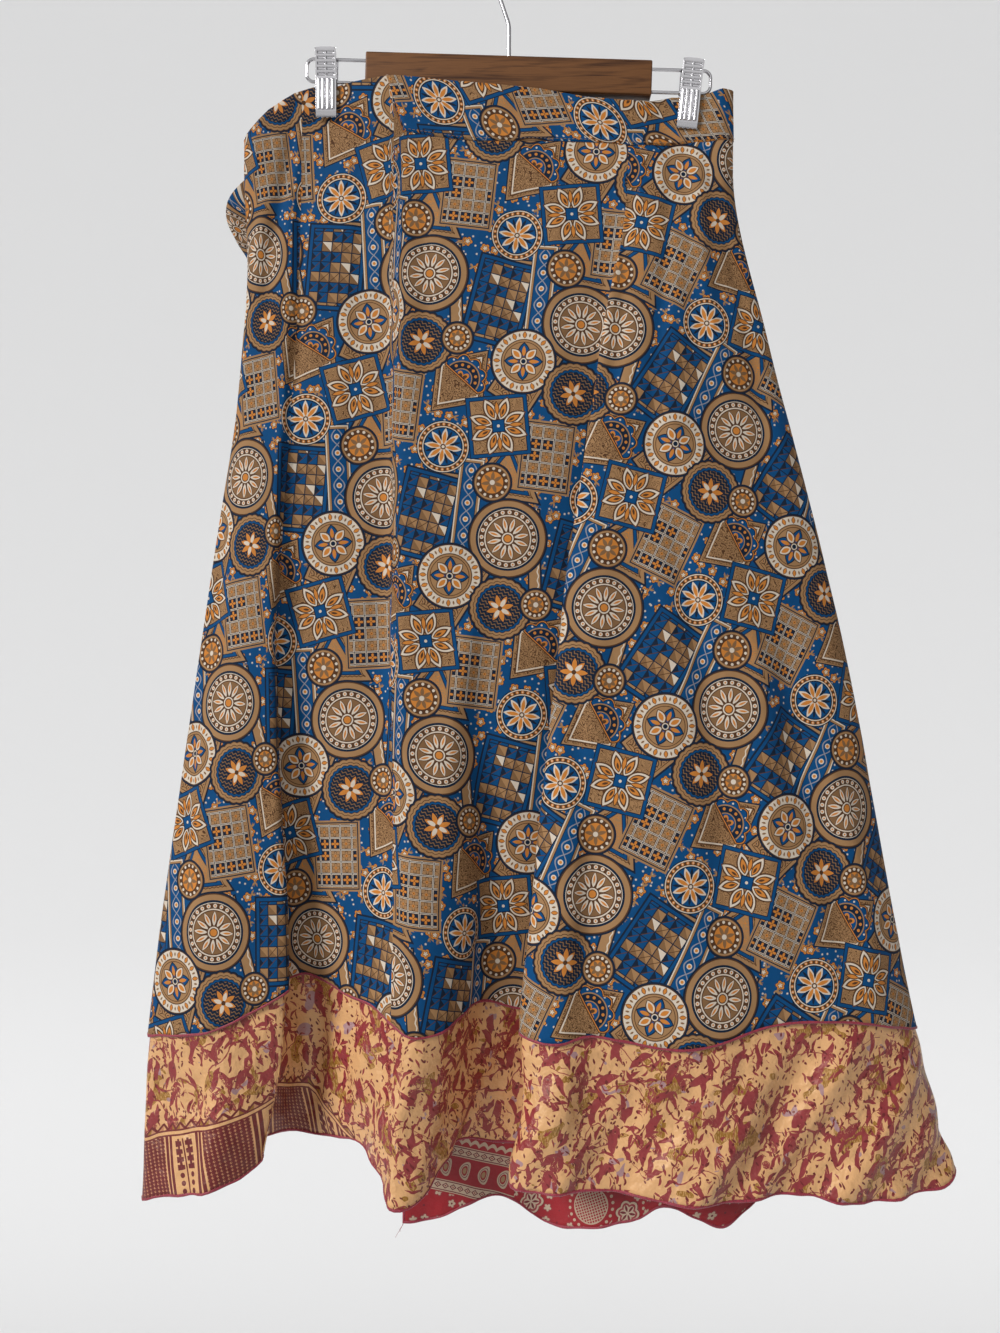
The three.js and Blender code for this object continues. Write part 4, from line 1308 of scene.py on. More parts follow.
def scale_patch(art, ink):
    """Overlapping fish scales in fine brown lines on tan."""
    spot = art.spot(2, 8, -14, REPEAT)
    edge = box_edge(spot, 18.0, 31.0)
    nest(art, edge, ((0.0, ink.tan), (2.2, ink.brown), (2.8, ink.tan)), ink.navy)
    inside = edge.below(-3.4)
    row = (spot.y / 5.2).floor()
    across = (spot.x + row * 5.0).wrap(5.0)
    up = (spot.y / 5.2).fraction() * 5.2
    reach = across.calc("SQRT", across * across + up * up)
    ring = abs((reach / 2.1).fraction() - 0.5)
    inlay(art, inside, (
        (ring.below(0.2), ink.brown),
        (reach.below(1.5), ink.navy),
        (reach.below(0.9), ink.rust),
    ))


def vine_band(art, ink):
    """Two stems that cross along a blue band, with a bud in each eye."""
    spot = art.spot(-8, 66, 12, REPEAT)
    edge = box_edge(spot, 10.0, 42.0)
    nest(art, edge, ((0.0, ink.navy), (0.6, ink.cream), (1.6, ink.tan), (3.2, ink.navy), (3.8, ink.blue)))
    inside = edge.below(-3.8)
    sway = (spot.y * (math.pi / 13)).sine() * 4.2
    art.lay(abs(abs(spot.x) - abs(sway)).below(0.55) * inside, ink.sky)
    eye = (spot.y - 6.5).wrap(6.5)
    reach = (eye * eye + spot.x * spot.x)
    inlay(art, inside, (
        (reach.below(4.6), ink.cream),
        (reach.below(1.5), ink.rust),
    ))


def tan_bar(art, ink):
    spot = art.spot(58, 40, 20, REPEAT)
    edge = box_edge(spot, 5.6, 48.0)
    nest(art, edge, ((0.0, ink.navy), (1.4, ink.tan)))
    rope = abs(spot.x - 2.6 - (spot.y * 0.9).sine() * 0.5)
    art.lay(rope.below(0.5) * edge.below(0), ink.cream)


def triangle_frame(art, ink):
    """A nest of triangles in tan and blue with a scrolling edge, rust curls at its middle."""
    for x, y, turn, size in ((12, -78, 10, 17.0), (-22, 78, 190, 13.0)):
        spot = art.spot(x, y, turn, REPEAT)
        edge = (abs(spot.x) * 0.87 + spot.y * 0.5).most(spot.y * -1) - size
        nest(art, edge, ((0.0, ink.tan),), ink.navy)
        scallop = abs((spot.x * 0.9).sine() * 0.7) + edge
        art.lay(scallop.within(-3.2, -2.4), ink.brown)
        nest(art, edge, ((4.2, ink.navy), (4.9, ink.blue), (7.0, ink.navy), (7.6, ink.tan)))
        curls(art, edge.below(-8.2), ink.rust)


def fan_patch(art, ink):
    """A speckled tan kite with a scalloped blue fan on it."""
    spot = art.spot(-46, -16, -24, REPEAT)
    kite = (abs(spot.x) + abs(spot.y + 2) * 0.75) - 25.5
    nest(art, kite, ((0.0, ink.navy), (1.2, ink.tan)))
    curls(art, kite.below(-2.4), ink.brown, 0.1)
    art.lay(art.cloud(0.95, 1.0).above(0.58) * kite.below(-2.4), ink.brown)
    art.lay(abs(kite + 5.0).below(0.5), ink.brown)
    art.lay(abs(kite + 6.6).below(0.7), ink.cream)
    scallop = abs((spot.a * 5).sine()) * 3.2
    fan = (spot.r - scallop - 17.0).most(spot.y * -1)
    nest(art, fan, ((-0.8, ink.brown), (0.0, ink.rust), (0.7, ink.navy), (1.5, ink.blue)))
    inside = fan.below(-1.5)
    inlay(art, inside, (
        (spot.r.within(13.8, 14.8), ink.tan),
        (spot.r.below(13.8), ink.navy),
    ))
    beads(art, spot, 11.4, 14, 1.2, ink.rust, inside)
    beads(art, spot, 16.8, 14, 0.8, ink.cream, inside)
    inlay(art, inside, (
        (spot.r.below(8.6), ink.tan),
        (spot.r.below(7.8), ink.blue),
    ))
    petal = spot.r - abs((spot.a * 2.5).cosine()) * 3.4
    inlay(art, inside, (
        (petal.below(3.4), ink.rust),
        (petal.below(1.6), ink.brown),
    ))


def flower_tile(art, ink):
    """A square tile with eight curled petals round a blue square."""
    spot = art.spot(-6, -42, 24, REPEAT)
    edge = box_edge(spot, 24.5, 24.5)
    nest(art, edge, ((0.0, ink.navy), (0.7, ink.blue), (3.0, ink.navy), (3.7, ink.tan)))
    curls(art, edge.below(-4.3), ink.brown)
    blossom(art, spot, (
        (8, 4.0, 24.5, 11.0, ink.brown, 0.39),
        (8, 5.0, 23.2, 8.4, ink.cream, 0.39),
        (8, 6.5, 20.5, 5.8, ink.brown, 0.39),
        (8, 7.5, 18.5, 4.0, ink.rust, 0.39),
        (8, 9.0, 14.5, 1.8, ink.brown, 0.39),
        (4, 8.0, 20.0, 4.2, ink.brown),
        (4, 9.0, 19.0, 2.6, ink.rust),
    ))
    centre = abs(spot.x).most(abs(spot.y))
    nest(art, centre - 5.2, ((0.0, ink.navy), (0.8, ink.blue)))
    art.lay(spot.r.below(1.2), ink.cream)


def rosette(art, ink):
    """The large roundel: a broad tan rim round a ring of small blooms and a twelvefold flower."""
    spot = art.spot(30, 56, 0, REPEAT)
    nest(
        art, spot.r - 30.5,
        ((0.0, ink.brown), (0.9, ink.tan), (5.2, ink.navy), (7.0, ink.cream)), ink.navy,
    )
    art.lay(spot.r.within(18.6, 23.0), ink.brown)
    beads(art, spot, 20.8, 24, 1.6, ink.cream)
    beads(art, spot, 20.8, 24, 0.7, ink.rust)
    nest(art, spot.r - 18.4, ((0.0, ink.cream), (0.8, ink.brown), (1.6, ink.toast)))
    blossom(art, spot, (
        (12, 3.0, 17.0, 5.2, ink.brown),
        (12, 5.0, 16.6, 3.6, ink.cream),
        (12, 8.0, 15.0, 1.5, ink.rust),
    ))
    nest(art, spot.r - 5.6, ((0.0, ink.brown), (0.9, ink.cream), (2.0, ink.brown), (2.8, ink.rust)))


def star_roundel(art, ink):
    """A beaded cream rim round an eight-petalled star on blue."""
    spot = art.spot(-42, -72, 10, REPEAT)
    rim = ((0.0, ink.navy), (0.8, ink.cream), (1.6, ink.brown), (4.6, ink.cream), (5.4, ink.navy))
    nest(art, spot.r - 21.0, rim)
    beads(art, spot, 18.0, 26, 1.25, ink.rust)
    beads(art, spot, 18.0, 26, 0.5, ink.cream)
    art.lay(spot.r.below(14.6), ink.blue)
    blossom(art, spot, (
        (8, 1.0, 15.0, 5.0, ink.cream),
        (8, 2.0, 12.5, 3.0, ink.rust),
        (8, 5.0, 14.5, 2.2, ink.navy, 0.393),
    ))
    art.lay(spot.r.below(2.2), ink.brown)
    art.lay(spot.r.below(1.2), ink.cream)


def wheel_roundel(art, ink):
    """A cream rim strewn with gold stars, and a six-petalled compass flower within."""
    spot = art.spot(-4, 13, 16, REPEAT)
    nest(art, spot.r - 25.0, ((0.0, ink.brown), (0.7, ink.cream)), ink.navy)
    blossom(art, spot, (
        (16, 18.4, 24.2, 3.4, ink.brown),
        (16, 18.8, 23.8, 2.4, ink.rust),
        (16, 19.6, 23.0, 1.5, ink.toast, 0.196),
    ))
    nest(art, spot.r - 18.0, ((0.0, ink.brown), (0.8, ink.tan), (2.2, ink.brown), (2.8, ink.tan)))
    blossom(art, spot, (
        (4, 0.0, 15.4, 11.0, ink.navy),
        (4, 1.0, 14.4, 8.6, ink.blue),
        (4, 2.0, 14.4, 8.4, ink.brown, 0.785),
        (4, 3.0, 13.6, 6.2, ink.cream, 0.785),
        (4, 4.5, 12.0, 3.6, ink.rust, 0.785),
        (4, 4.0, 12.4, 3.0, ink.rust),
    ))
    nest(art, spot.r - 3.4, ((0.0, ink.brown), (0.8, ink.cream)))
    art.lay(spot.r.below(1.8), ink.navy)


def wave_roundel(art, ink):
    """A scalloped tan rim round close waves on navy, with a gold star at the middle."""
    spot = art.spot(42, 2, -12, REPEAT)
    rim = spot.r - 23.5 - abs((spot.a * 12).sine()) * 0.9
    bands = (
        (0.0, ink.brown), (0.6, ink.tan), (2.6, ink.brown), (3.2, ink.tan), (4.8, ink.navy),
        (5.4, ink.blue), (6.8, ink.navy),
    )
    nest(art, rim, bands, ink.navy)
    inside = spot.r.below(16.6)
    waves = abs((spot.y / 3.0 + (spot.x * 1.6).sine() * 0.22).fraction() - 0.5)
    art.lay(waves.below(0.15) * inside, ink.toast)
    blossom(art, spot, (
        (8, 0.5, 12.0, 6.0, ink.navy),
        (8, 1.0, 11.0, 4.0, ink.rust),
        (4, 1.0, 8.6, 3.4, ink.cream),
    ))
    art.lay(spot.r.below(1.8), ink.brown)


def small_suns(art, ink):
    for x, y, size in ((4, -86, 14.5), (-60, 14, 12.0)):
        spot = art.spot(x, y, 0, REPEAT)
        nest(art, spot.r - size, ((0.0, ink.brown), (0.6, ink.tan), (2.0, ink.brown)), ink.navy)
        beads(art, spot, size - 3.4, 14, 1.15, ink.cream)
        nest(art, spot.r - size + 5.2, ((0.0, ink.brown), (0.6, ink.rust)))
        petals(art, spot, 7, 0.5, size - 5.6, 3.0, ink.toast)
        art.lay(spot.r.below(2.0), ink.cream)


# ---- the satin's foliage, the border and the crimson end ----

def strewn(art, size, x, y, lean, spread, jitter=0.22):
    """One place to each cell of the sheet, moved and turned at random, and the cell's chance."""
    field = art.spot(x, y)
    cell = art.vector_math("FLOOR", art.vector_math("DIVIDE", field.vector, (size, size, 1)))
    random = art.random(cell)
    inside = art.vector_math("WRAP", field.vector, (size, size, 1), (0, 0, -1))
    centred = art.vector_math("ADD", inside, (-size / 2, -size / 2, 0))
    moved = art.vector_math(
        "MULTIPLY_ADD", random.outputs["Color"], (size * jitter,) * 3, (-size * jitter / 2,) * 3
    )
    chance = Ink(art.tree, random.outputs["Value"])
    angle = (chance * 17).fraction() * spread + (lean - spread / 2)
    return Spot(art, art.turned(art.vector_math("ADD", centred, moved), angle)), chance


def leaf(spot, half_length, half_width, bend=0.0):
    """Below 0 inside a pointed leaf that lies along x."""
    share = spot.x * spot.x
    across = spot.y - share * bend if bend else spot.y
    return abs(across) + share * (half_width / half_length**2) - half_width


def warped(art, scale, reach):
    """A drawing on the same sheet with its lines drawn unsteadily."""
    unsteady = art.noise(scale, 1.0).outputs["Color"]
    moved = art.vector_math("MULTIPLY_ADD", unsteady, (reach,) * 3, (-reach / 2,) * 3)
    return Drawing(art.tree, art.colour, art.vector_math("ADD", art.vector, moved))


def stretched_noise(art, across, along, detail, turn=0.0, distortion=0.0):
    """Noise drawn out along the sheet's length, across and along to the millimetre."""
    scaled = art.vector_math("MULTIPLY", art.spot(0, 0, turn).vector, (across, along, 1))
    return Ink(art.tree, art.noise(1.0, detail, scaled, distortion).outputs["Fac"])


# each layer of leaves: cell, shift, lean, spread, half length, half width, bend, chance
LEAVES = (
    (23.0, (0, 0), 1.9, 1.1, 11.0, 3.3, 0.014, 0.86),
    (18.0, (5, 7), 1.2, 1.2, 9.5, 2.3, -0.018, 0.76),
    (13.0, (3, 2), 2.2, 1.6, 6.4, 1.5, 0.035, 0.66),
    (9.0, (1, 6), 1.1, 2.2, 3.9, 0.8, -0.050, 0.50),
)


# each layer of flecks: cell, shift, lean, half length, chance
FLECKS = ((7.5, (2, 1), 1.3, 2.2, 0.45), (5.4, (0, 2), 1.0, 1.2, 0.3))


def foliage(art):
    """Rose leaves in clumps on curling stems, stained blooms and small dark flecks on gold."""
    rose, maroon, ochre, mauve, satin = ink_colours("rose", "maroon", "ochre", "mauve", "satin")
    stain = art.cloud(0.042, 2.5, 0.4)
    brushed = stretched_noise(art, 1.1, 0.25, 2.0, 20)
    art.lay(stain.above(0.59), ochre)
    art.lay(stain.above(0.60) * brushed.above(0.53), mixed(ochre, satin, 0.5))
    art.lay(art.cloud(0.062, 1.5, 0.6).above(0.668), mauve)
    clumps = art.cloud(0.034, 1.0)
    uneven = warped(art, 0.11, 5.0)
    ragged = stretched_noise(uneven, 0.14, 0.05, 3.0, 14, 0.5)
    uneven.lay(ragged.above(0.60) * clumps.above(0.47), rose)
    for cell, shift, lean, spread, half_length, half_width, bend, share in LEAVES:
        spot, chance = strewn(uneven, cell, *shift, lean, spread)
        shown = chance.below(share) * clumps.above(0.43 if cell > 10 else 0.35)
        uneven.lay(leaf(spot, half_length, half_width, bend).below(0) * shown, rose)
    stems = abs(uneven.cloud(0.028, 0.5) - 0.5)
    uneven.lay(stems.below(0.0055) * clumps.above(0.38), rose)
    veins = stretched_noise(uneven, 0.42, 0.16, 1.0, 14)
    uneven.lay(abs(veins - 0.5).below(0.012) * ragged.above(0.6), satin)
    for cell, shift, lean, half_length, share in FLECKS:
        spot, chance = strewn(uneven, cell, *shift, lean, 2.0, 0.5)
        uneven.lay(leaf(spot, half_length, 0.8).below(0) * chance.below(share), maroon)
    art.colour = uneven.colour


BORDER_REPEAT = 84.0
BORDER_LEAN = 0.26


def border(art):
    """The woven border: points and drops over two lines, then meshed, striped and stepped blocks."""
    rose, maroon, ochre, satin = ink_colours("rose", "maroon", "ochre", "satin")
    pale = mixed(rose, satin, 0.55)
    spot = art.spot(0, 0)
    above = spot.y * -1
    point = (5.5 - abs(spot.x.wrap(5.5))) * 0.92
    near = above.within(0, 5.6)
    chosen = (spot.x * (1 / 33)).fraction()
    art.lay(above.below(point) * near * chosen.below(0.34), pale)
    art.lay(above.below(point) * near * chosen.above(0.67), ochre)
    art.lay(abs(above - point).below(1.3) * near, maroon)
    drop = abs((spot.x + 5.5).wrap(5.5))
    for height, tall in ((8.8, 2.3), (12.2, 1.7)):
        art.lay((drop * 2.2 + abs(above - height)).below(tall), maroon)
    art.lay(spot.y.within(0, 1.4), maroon)
    art.lay(spot.y.within(1.4, 3.8), satin)
    art.lay(spot.y.within(3.8, 5.2), maroon)
    low = spot.y.above(5.2)
    art.lay(low, satin)
    along = (spot.x - spot.y * BORDER_LEAN + 30)
    along = along - (along / BORDER_REPEAT).floor() * BORDER_REPEAT
    mesh = along.below(38) * low
    art.lay(mesh, maroon)
    knot, row = along.wrap(1.9), (spot.y - 5.2).wrap(1.5)
    inlay(art, mesh, (
        ((abs(knot) + abs(row)).below(1.15), pale),
        ((abs(knot - 0.5) + abs(row + 0.3)).below(0.6), maroon),
    ))
    for start in (39.5, 44.3, 74.0, 78.8):
        art.lay(along.within(start, start + 3.3) * low, maroon)
    block = abs(along - 61.0)
    step = (spot.y - 5.2).wrap(3.1)
    upper = block.within(1.7, 8.6) * spot.y.within(7.6, 32)
    art.lay(upper * (abs(step) - block * 0.12).below(1.5), maroon)
    art.lay(block.within(3.6, 6.0) * spot.y.within(7.6, 32) * abs(step).above(0.8) * low, maroon)
    reach = (block - 5.2) * (block - 5.2) + step * step
    art.lay(reach.below(4.4) * spot.y.above(32) * block.below(9), maroon)
    art.lay(block.below(0.7) * spot.y.above(7.6), maroon)


def crimson_print(art):
    """Cream flower and chain bands at the loose corner, and dotted discs and blooms beside it."""
    maroon, rose, tan = ink_colours("maroon", "rose", "tan")
    cream = mixed(ink_colour("cream"), tan, 0.55)
    field = art.spot(0, 0)
    spot, chance = strewn(art, 11.0, 3, 5, 1.0, 6.0)
    bloom = spot.r - 2.0 - abs((spot.a * 2.5).cosine()) * 1.4
    art.lay(bloom.below(0.9) * chance.below(0.7), rose)
    art.lay(bloom.below(0) * chance.below(0.7), cream)
    art.lay(spot.r.below(0.9), maroon)
    beads(art, art.spot(134, -1016, 0, None), 9.0, 12, 1.3, cream)
    disc = art.spot(80, -1024)
    nest(art, disc.r - 22.0, ((0.0, ink_colour("crimson")),))
    beads(art, disc, 19.0, 22, 1.3, cream)
    nest(art, disc.r - 15.0, ((0.0, cream), (0.9, ink_colour("crimson"))))
    hatch = art.spot(80, -1024, 28)
    lines = abs(hatch.x.wrap(1.15)).least(abs(hatch.y.wrap(1.15)))
    art.lay(lines.below(0.36) * disc.r.below(14.1), cream)
    for x, y, size in ((113, -1026, 9.0), (26, -1031, 9.5), (52, -1000, 7.0)):
        flower = art.spot(x, y)
        lobes = flower.r - abs((flower.a * 3).cosine()) * 2.2
        nest(art, lobes - size, ((0.0, maroon), (0.6, cream), (2.4, rose), (4.2, cream)))
        petals(art, flower, 6, 1.0, size * 0.8, 2.0, maroon)
    band = art.spot(-30, -984, -12)
    corner = field.x.below(9)
    art.lay(band.y.within(-44, 7) * corner, ink_colour("crimson"))
    scallop = band.y - abs((band.x * 0.42).sine()) * 3.0
    art.lay(scallop.within(-1.2, 2.0) * corner, cream)
    for low, high in ((-11.5, -2.4), (-43.0, -33.0)):
        middle = (low + high) / 2
        inlay(art, corner, (
            (band.y.within(low, high), cream),
            (band.y.within(low + 0.8, low + 1.6), maroon),
            (band.y.within(high - 1.6, high - 0.8), maroon),
        ))
        link = abs(band.x.wrap(3.4)) + abs(band.y - middle) * 1.25
        inlay(art, corner, (
            (abs(link - 2.6).below(0.62), maroon),
            (link.below(0.9), ink_colour("crimson")),
        ))
    drop_x, drop_y = band.x.wrap(8.5), band.y + 22.0
    bend = drop_x - drop_y * drop_y * 0.03
    paisley = (bend * bend * 1.5 + drop_y * drop_y * 0.55)
    inside = band.y.within(-32, -12.4) * corner
    inlay(art, inside, (
        (paisley.within(10.0, 34), cream),
        (paisley.within(16.0, 20), maroon),
        (paisley.below(4), tan),
    ))


# ---- materials ----

def new_material(title):
    """A new node material with its tree and its surface shader."""
    material = bpy.data.materials.new(title)
    material.use_nodes = True
    tree = material.node_tree
    shader = next(n for n in tree.nodes if n.type == "BSDF_PRINCIPLED")
    return material, tree, shader


def made_once(make):
    """Makes a material at the first call and gives the same one afterwards."""
    kept = {}

    def get(*key):
        if key not in kept:
            kept[key] = make(*key)
        return kept[key]

    return get


def uv_drawing(tree, layer, ground):
    """A drawing in millimetres on one of the piece's UV maps."""
    uv = add_node(tree, "ShaderNodeUVMap", uv_map=layer)
    scaled = add_node(tree, "ShaderNodeVectorMath", uv.outputs["UV"], operation="SCALE")
    scaled.inputs["Scale"].default_value = 100
    return Drawing(tree, ground, scaled.outputs["Vector"])


def shade(art, low, high, scale, detail=3.0):
    """Lets the drawing's colour vary softly between low and high times itself."""
    level = map_value(art.tree, art.cloud(scale, detail).socket, low, high)
    varied = add_node(art.tree, "ShaderNodeVectorMath", art.colour, operation="SCALE")
    art.tree.links.new(level, varied.inputs["Scale"])
    art.colour = varied.outputs["Vector"]


def finish_cloth(art, shader, threads, height, grain_scale, grain_height, values):
    """Gives a shader its print, its plain weave, threads to the millimetre, and its crinkles."""
    art.tree.links.new(art.colour, shader.inputs["Base Color"])
    set_inputs(shader, values)
    spot = art.spot(0, 0)
    turn = 2 * math.pi * threads
    weave = (spot.x * turn).sine() * (spot.y * turn).sine()
    relief = weave * height + art.cloud(grain_scale, 3.0) * grain_height
    add_bump(art.tree, shader, relief.socket, MM)


@made_once
def printed_crepe():
    material, tree, shader = new_material("printed crepe")
    ink = print_colours()
    art = uv_drawing(tree, "print", ink.blue)
    for motif in (
        sprigged_ground, tan_bar, triangle_frame, check_patch, scale_patch, lattice_patch,
        vine_band, fan_patch, flower_tile, rosette, star_roundel, wheel_roundel, wave_roundel, small_suns,
    ):
        motif(art, ink)
    shade(art, 0.86, 1.08, 0.02)
    finish_cloth(art, shader, 1.6, 0.03, 0.045, 1.6, {
        "Roughness": 0.78, "Specular IOR Level": 0.18, "Sheen Weight": 0.04, "Sheen Roughness": 0.4,
    })
    return material


@made_once
def gold_satin():
    material, tree, shader = new_material("gold satin")
    art = uv_drawing(tree, "print", ink_colour("satin"))
    foliage(art)
    edge = uv_drawing(tree, "edge", art.colour)
    border(edge)
    art.colour = edge.colour
    shade(art, 0.8, 1.12, 0.03)
    finish_cloth(art, shader, 2.4, 0.02, 0.07, 3.6, {
        "Roughness": 0.34, "Specular IOR Level": 0.8, "Specular Tint": (1.0, 0.85, 0.66, 1),
        "Sheen Weight": 0.06, "Sheen Roughness": 0.35, "Sheen Tint": (1.0, 0.86, 0.7, 1),
    })
    return material


@made_once
def crimson_crepe():
    material, tree, shader = new_material("crimson crepe")
    art = uv_drawing(tree, "print", ink_colour("crimson"))
    crimson_print(art)
    shade(art, 0.85, 1.1, 0.04)
    finish_cloth(art, shader, 1.6, 0.03, 0.08, 1.4, {"Roughness": 0.48, "Sheen Weight": 0.04})
    return material


def object_noise(tree, scale, detail, distortion=0.0):
    """Noise on the piece's own coordinates, scale to the millimetre along each axis."""
    place = tree.nodes.new("ShaderNodeTexCoord").outputs["Object"]
    finer = tuple(1000 * s for s in scale)
    scaled = add_node(tree, "ShaderNodeVectorMath", place, finer, operation="MULTIPLY")
    return noise_node(tree, scaled.outputs["Vector"], 1, detail, distortion).outputs["Fac"]


def ramp(tree, factor, stops):
    """A colour ramp of (place, colour) stops."""
    made = add_node(tree, "ShaderNodeValToRGB", factor)
    elements = made.color_ramp.elements
    for _ in range(len(stops) - 2):
        elements.new(0.5)
    for element, (place, value) in zip(elements, stops):
        element.position, element.color = place, (*value, 1)
    return made.outputs["Color"]


def map_value(tree, factor, low, high, start=0):
    made = add_node(tree, "ShaderNodeMapRange", factor)
    set_inputs(made, {"From Min": start, "To Min": low, "To Max": high})
    return made.outputs["Result"]


def add_bump(tree, shader, factor, height):
    bump = tree.nodes.new("ShaderNodeBump")
    bump.inputs["Distance"].default_value = height
    tree.links.new(factor, bump.inputs["Height"])
    tree.links.new(bump.outputs["Normal"], shader.inputs["Normal"])


@made_once
def sewing_thread(key):
    material, tree, shader = new_material(f"{key} thread")
    thread = ink_colour(key)
    twist = object_noise(tree, (0.9, 0.9, 0.9), 2.0)
    stops = ((0.3, tuple(0.55 * c for c in thread)), (0.7, tuple(min(1, 1.2 * c) for c in thread)))
    tree.links.new(ramp(tree, twist, stops), shader.inputs["Base Color"])
    add_bump(tree, shader, twist, 0.0002)
    set_inputs(shader, {"Roughness": 0.5, "Sheen Weight": 0.3})
    return material


@made_once
def chrome():
    material, tree, shader = new_material("chrome")
    haze = object_noise(tree, (0.25, 0.25, 0.25), 3.0)
    tree.links.new(map_value(tree, haze, 0.12, 0.24), shader.inputs["Roughness"])
    set_inputs(shader, {"Metallic": 1, "Base Color": (*ink_colour("chrome"), 1)})
    add_bump(tree, shader, object_noise(tree, (1.1, 1.1, 1.1), 2.0), 0.00002)
    return material


@made_once
def walnut():
    material, tree, shader = new_material("walnut")
    light, dark = ink_colour("walnut"), ink_colour("walnut_dark")
    figure = object_noise(tree, (0.009, 0.05, 0.10), 3.0, 1.2)
    pores = object_noise(tree, (0.035, 1.1, 1.3), 4.0)
    grain = add_node(tree, "ShaderNodeMath", pores, 0.45, figure, operation="MULTIPLY_ADD")
    shares = ((0.5, 0), (0.62, 0.5), (0.74, 1), (0.9, 0.75))
    stops = [(place, mixed(dark, light, share)) for place, share in shares]
    tree.links.new(ramp(tree, grain.outputs[0], stops), shader.inputs["Base Color"])
    tree.links.new(map_value(tree, pores, 0.5, 0.32), shader.inputs["Roughness"])
    set_inputs(shader, {"Specular IOR Level": 0.25, "Coat Weight": 0.04, "Coat Roughness": 0.3})
    add_bump(tree, shader, pores, 0.00012)
    return material


# ---- hanger ----
# Lengths are millimetres. The bar and its wires are built level and tilted into place together.

BAR_PLACE = (0.5, 0, -100.3)
BAR_TILT = math.radians(1.75)
BAR_SIZE = (231, 13, 28)
HOOK_START = (0.4, 0, -104)
HOOK_RISE = 28.0
HOOK_KINK = (-20.6, 0, -76)
HOOK_LEAN = 18.66
HOOK_RUN = 50.0
HOOK_CENTRE = (0, 0, -16.25)
HOOK_TURN = 238.66
LOOP_START = 113.0
LOOP_FAR = 163.6
LOOP_UPPER, LOOP_LOWER, LOOP_CORNER = -4.6, -23.0, 6.0
JAW_HEIGHT = 55.0
JAW_LINES = (-8.3, -7.7, -6.9, -4.2, -3.7, -0.4, 0.4, 3.7, 4.2, 6.9, 7.7, 8.3)
JAW_ROWS = (
    0, -1.2, -2.6, -5.3, -6.7, -9.4, -10.8, -13.5, -14.9, -17.6, -19.0, -21.7, -22.6, -24.0,
    -37.0, -49.0, -50.5, -52.4, -53.8, -55,
)
LOZENGES = (2, 4, 6, 8, 10)           # the rows of lozenges, by the row they start at
FLUTES = (13, 14)
FLANGE = (-3.4, -26.5)                # the heights between which the jaw's sides are folded back
COIL_TURNS, COIL_HALF, COIL_RADIUS, COIL_WIRE = 5.5, 4, 2.3, 0.55


class Clip(NamedTuple):
    name: str
    x: float
    top: float
    lean: float
    bite_front: float
    bite_back: float
    wire_height: float


CLIPS = (
    Clip("clip_left", -147, -95, 0, 4.2, 6.6, -118.8),
    Clip("clip_right", 149, -104, math.radians(5.7), 3.9, 4.6, -127.8),
)


def choose(made, kind, test):
    """Opens a piece for editing with only the faces or edges chosen whose middle passes a test."""
    if bpy.context.mode != "OBJECT":
        bpy.ops.object.mode_set(mode="OBJECT")
    pick(made)
    bpy.ops.object.mode_set(mode="EDIT")
    bpy.ops.mesh.select_mode(type=kind)
    bpy.ops.mesh.select_all(action="DESELECT")
    bpy.ops.object.mode_set(mode="OBJECT")
    mesh = made.data
    for item in mesh.polygons if kind == "FACE" else mesh.edges:
        corners = [mesh.vertices[k].co for k in item.vertices]
        item.select = bool(test(sum(corners, Vector()) / len(corners) / MM))
    bpy.ops.object.mode_set(mode="EDIT")


def close_edit(made):
    """Turns every face outwards and leaves the piece."""
    bpy.ops.mesh.select_all(action="SELECT")
    bpy.ops.mesh.normals_make_consistent(inside=False)
    bpy.ops.object.mode_set(mode="OBJECT")
    bpy.ops.object.shade_smooth_by_angle(angle=math.radians(38))
    made.select_set(False)


def bent_wire(name, start, way, radius, moves):
    """A round wire drawn from its start through straight runs, and bends about the Y axis."""
    bpy.ops.object.select_all(action="DESELECT")
    way = Vector(way)
    bpy.ops.mesh.primitive_circle_add(
        vertices=14, radius=radius * MM, fill_type="NGON", location=Vector(start) * MM,
        rotation=way.to_track_quat("Z", "Y").to_euler(),
    )
    wire = bpy.context.object
    wire.name = wire.data.name = name
    bpy.ops.object.transform_apply(location=True, rotation=True, scale=True)
    bpy.ops.object.mode_set(mode="EDIT")
    bpy.ops.mesh.select_mode(type="FACE")
    bpy.ops.mesh.select_all(action="SELECT")
    for move in moves:
        if isinstance(move, float):
            bpy.ops.mesh.extrude_region_move(TRANSFORM_OT_translate={"value": way * move * MM})
        else:
            centre, degrees = move
            bpy.ops.mesh.spin(
                steps=max(4, round(abs(degrees) / 7)), angle=-math.radians(degrees),
                center=Vector(centre) * MM, axis=(0, 1, 0),
            )
            way = Matrix.Rotation(math.radians(degrees), 3, "Y") @ way
    bpy.ops.mesh.bevel(offset=radius * 0.45 * MM, segments=3, affect="EDGES")
    close_edit(wire)
    return wire


def tube(name, line, radius, sides, across=(0, 1, 0)):
    """A thin round tube along a line of points."""
    way = unit(np.gradient(line, axis=0))
    side = unit(np.cross(way, np.broadcast_to(across, way.shape)))
    up = np.cross(side, way)
    turn = np.linspace(0, 2 * math.pi, sides, endpoint=False)
    ring = ring_round(line, side, up, turn, radius, radius)
    quads = grid_quads(sides, len(line), wrap=True).reshape(-1, 4)
    made = mesh_object(name, ring.transpose(1, 0, 2), quads)
    close_ends(made)
    return made


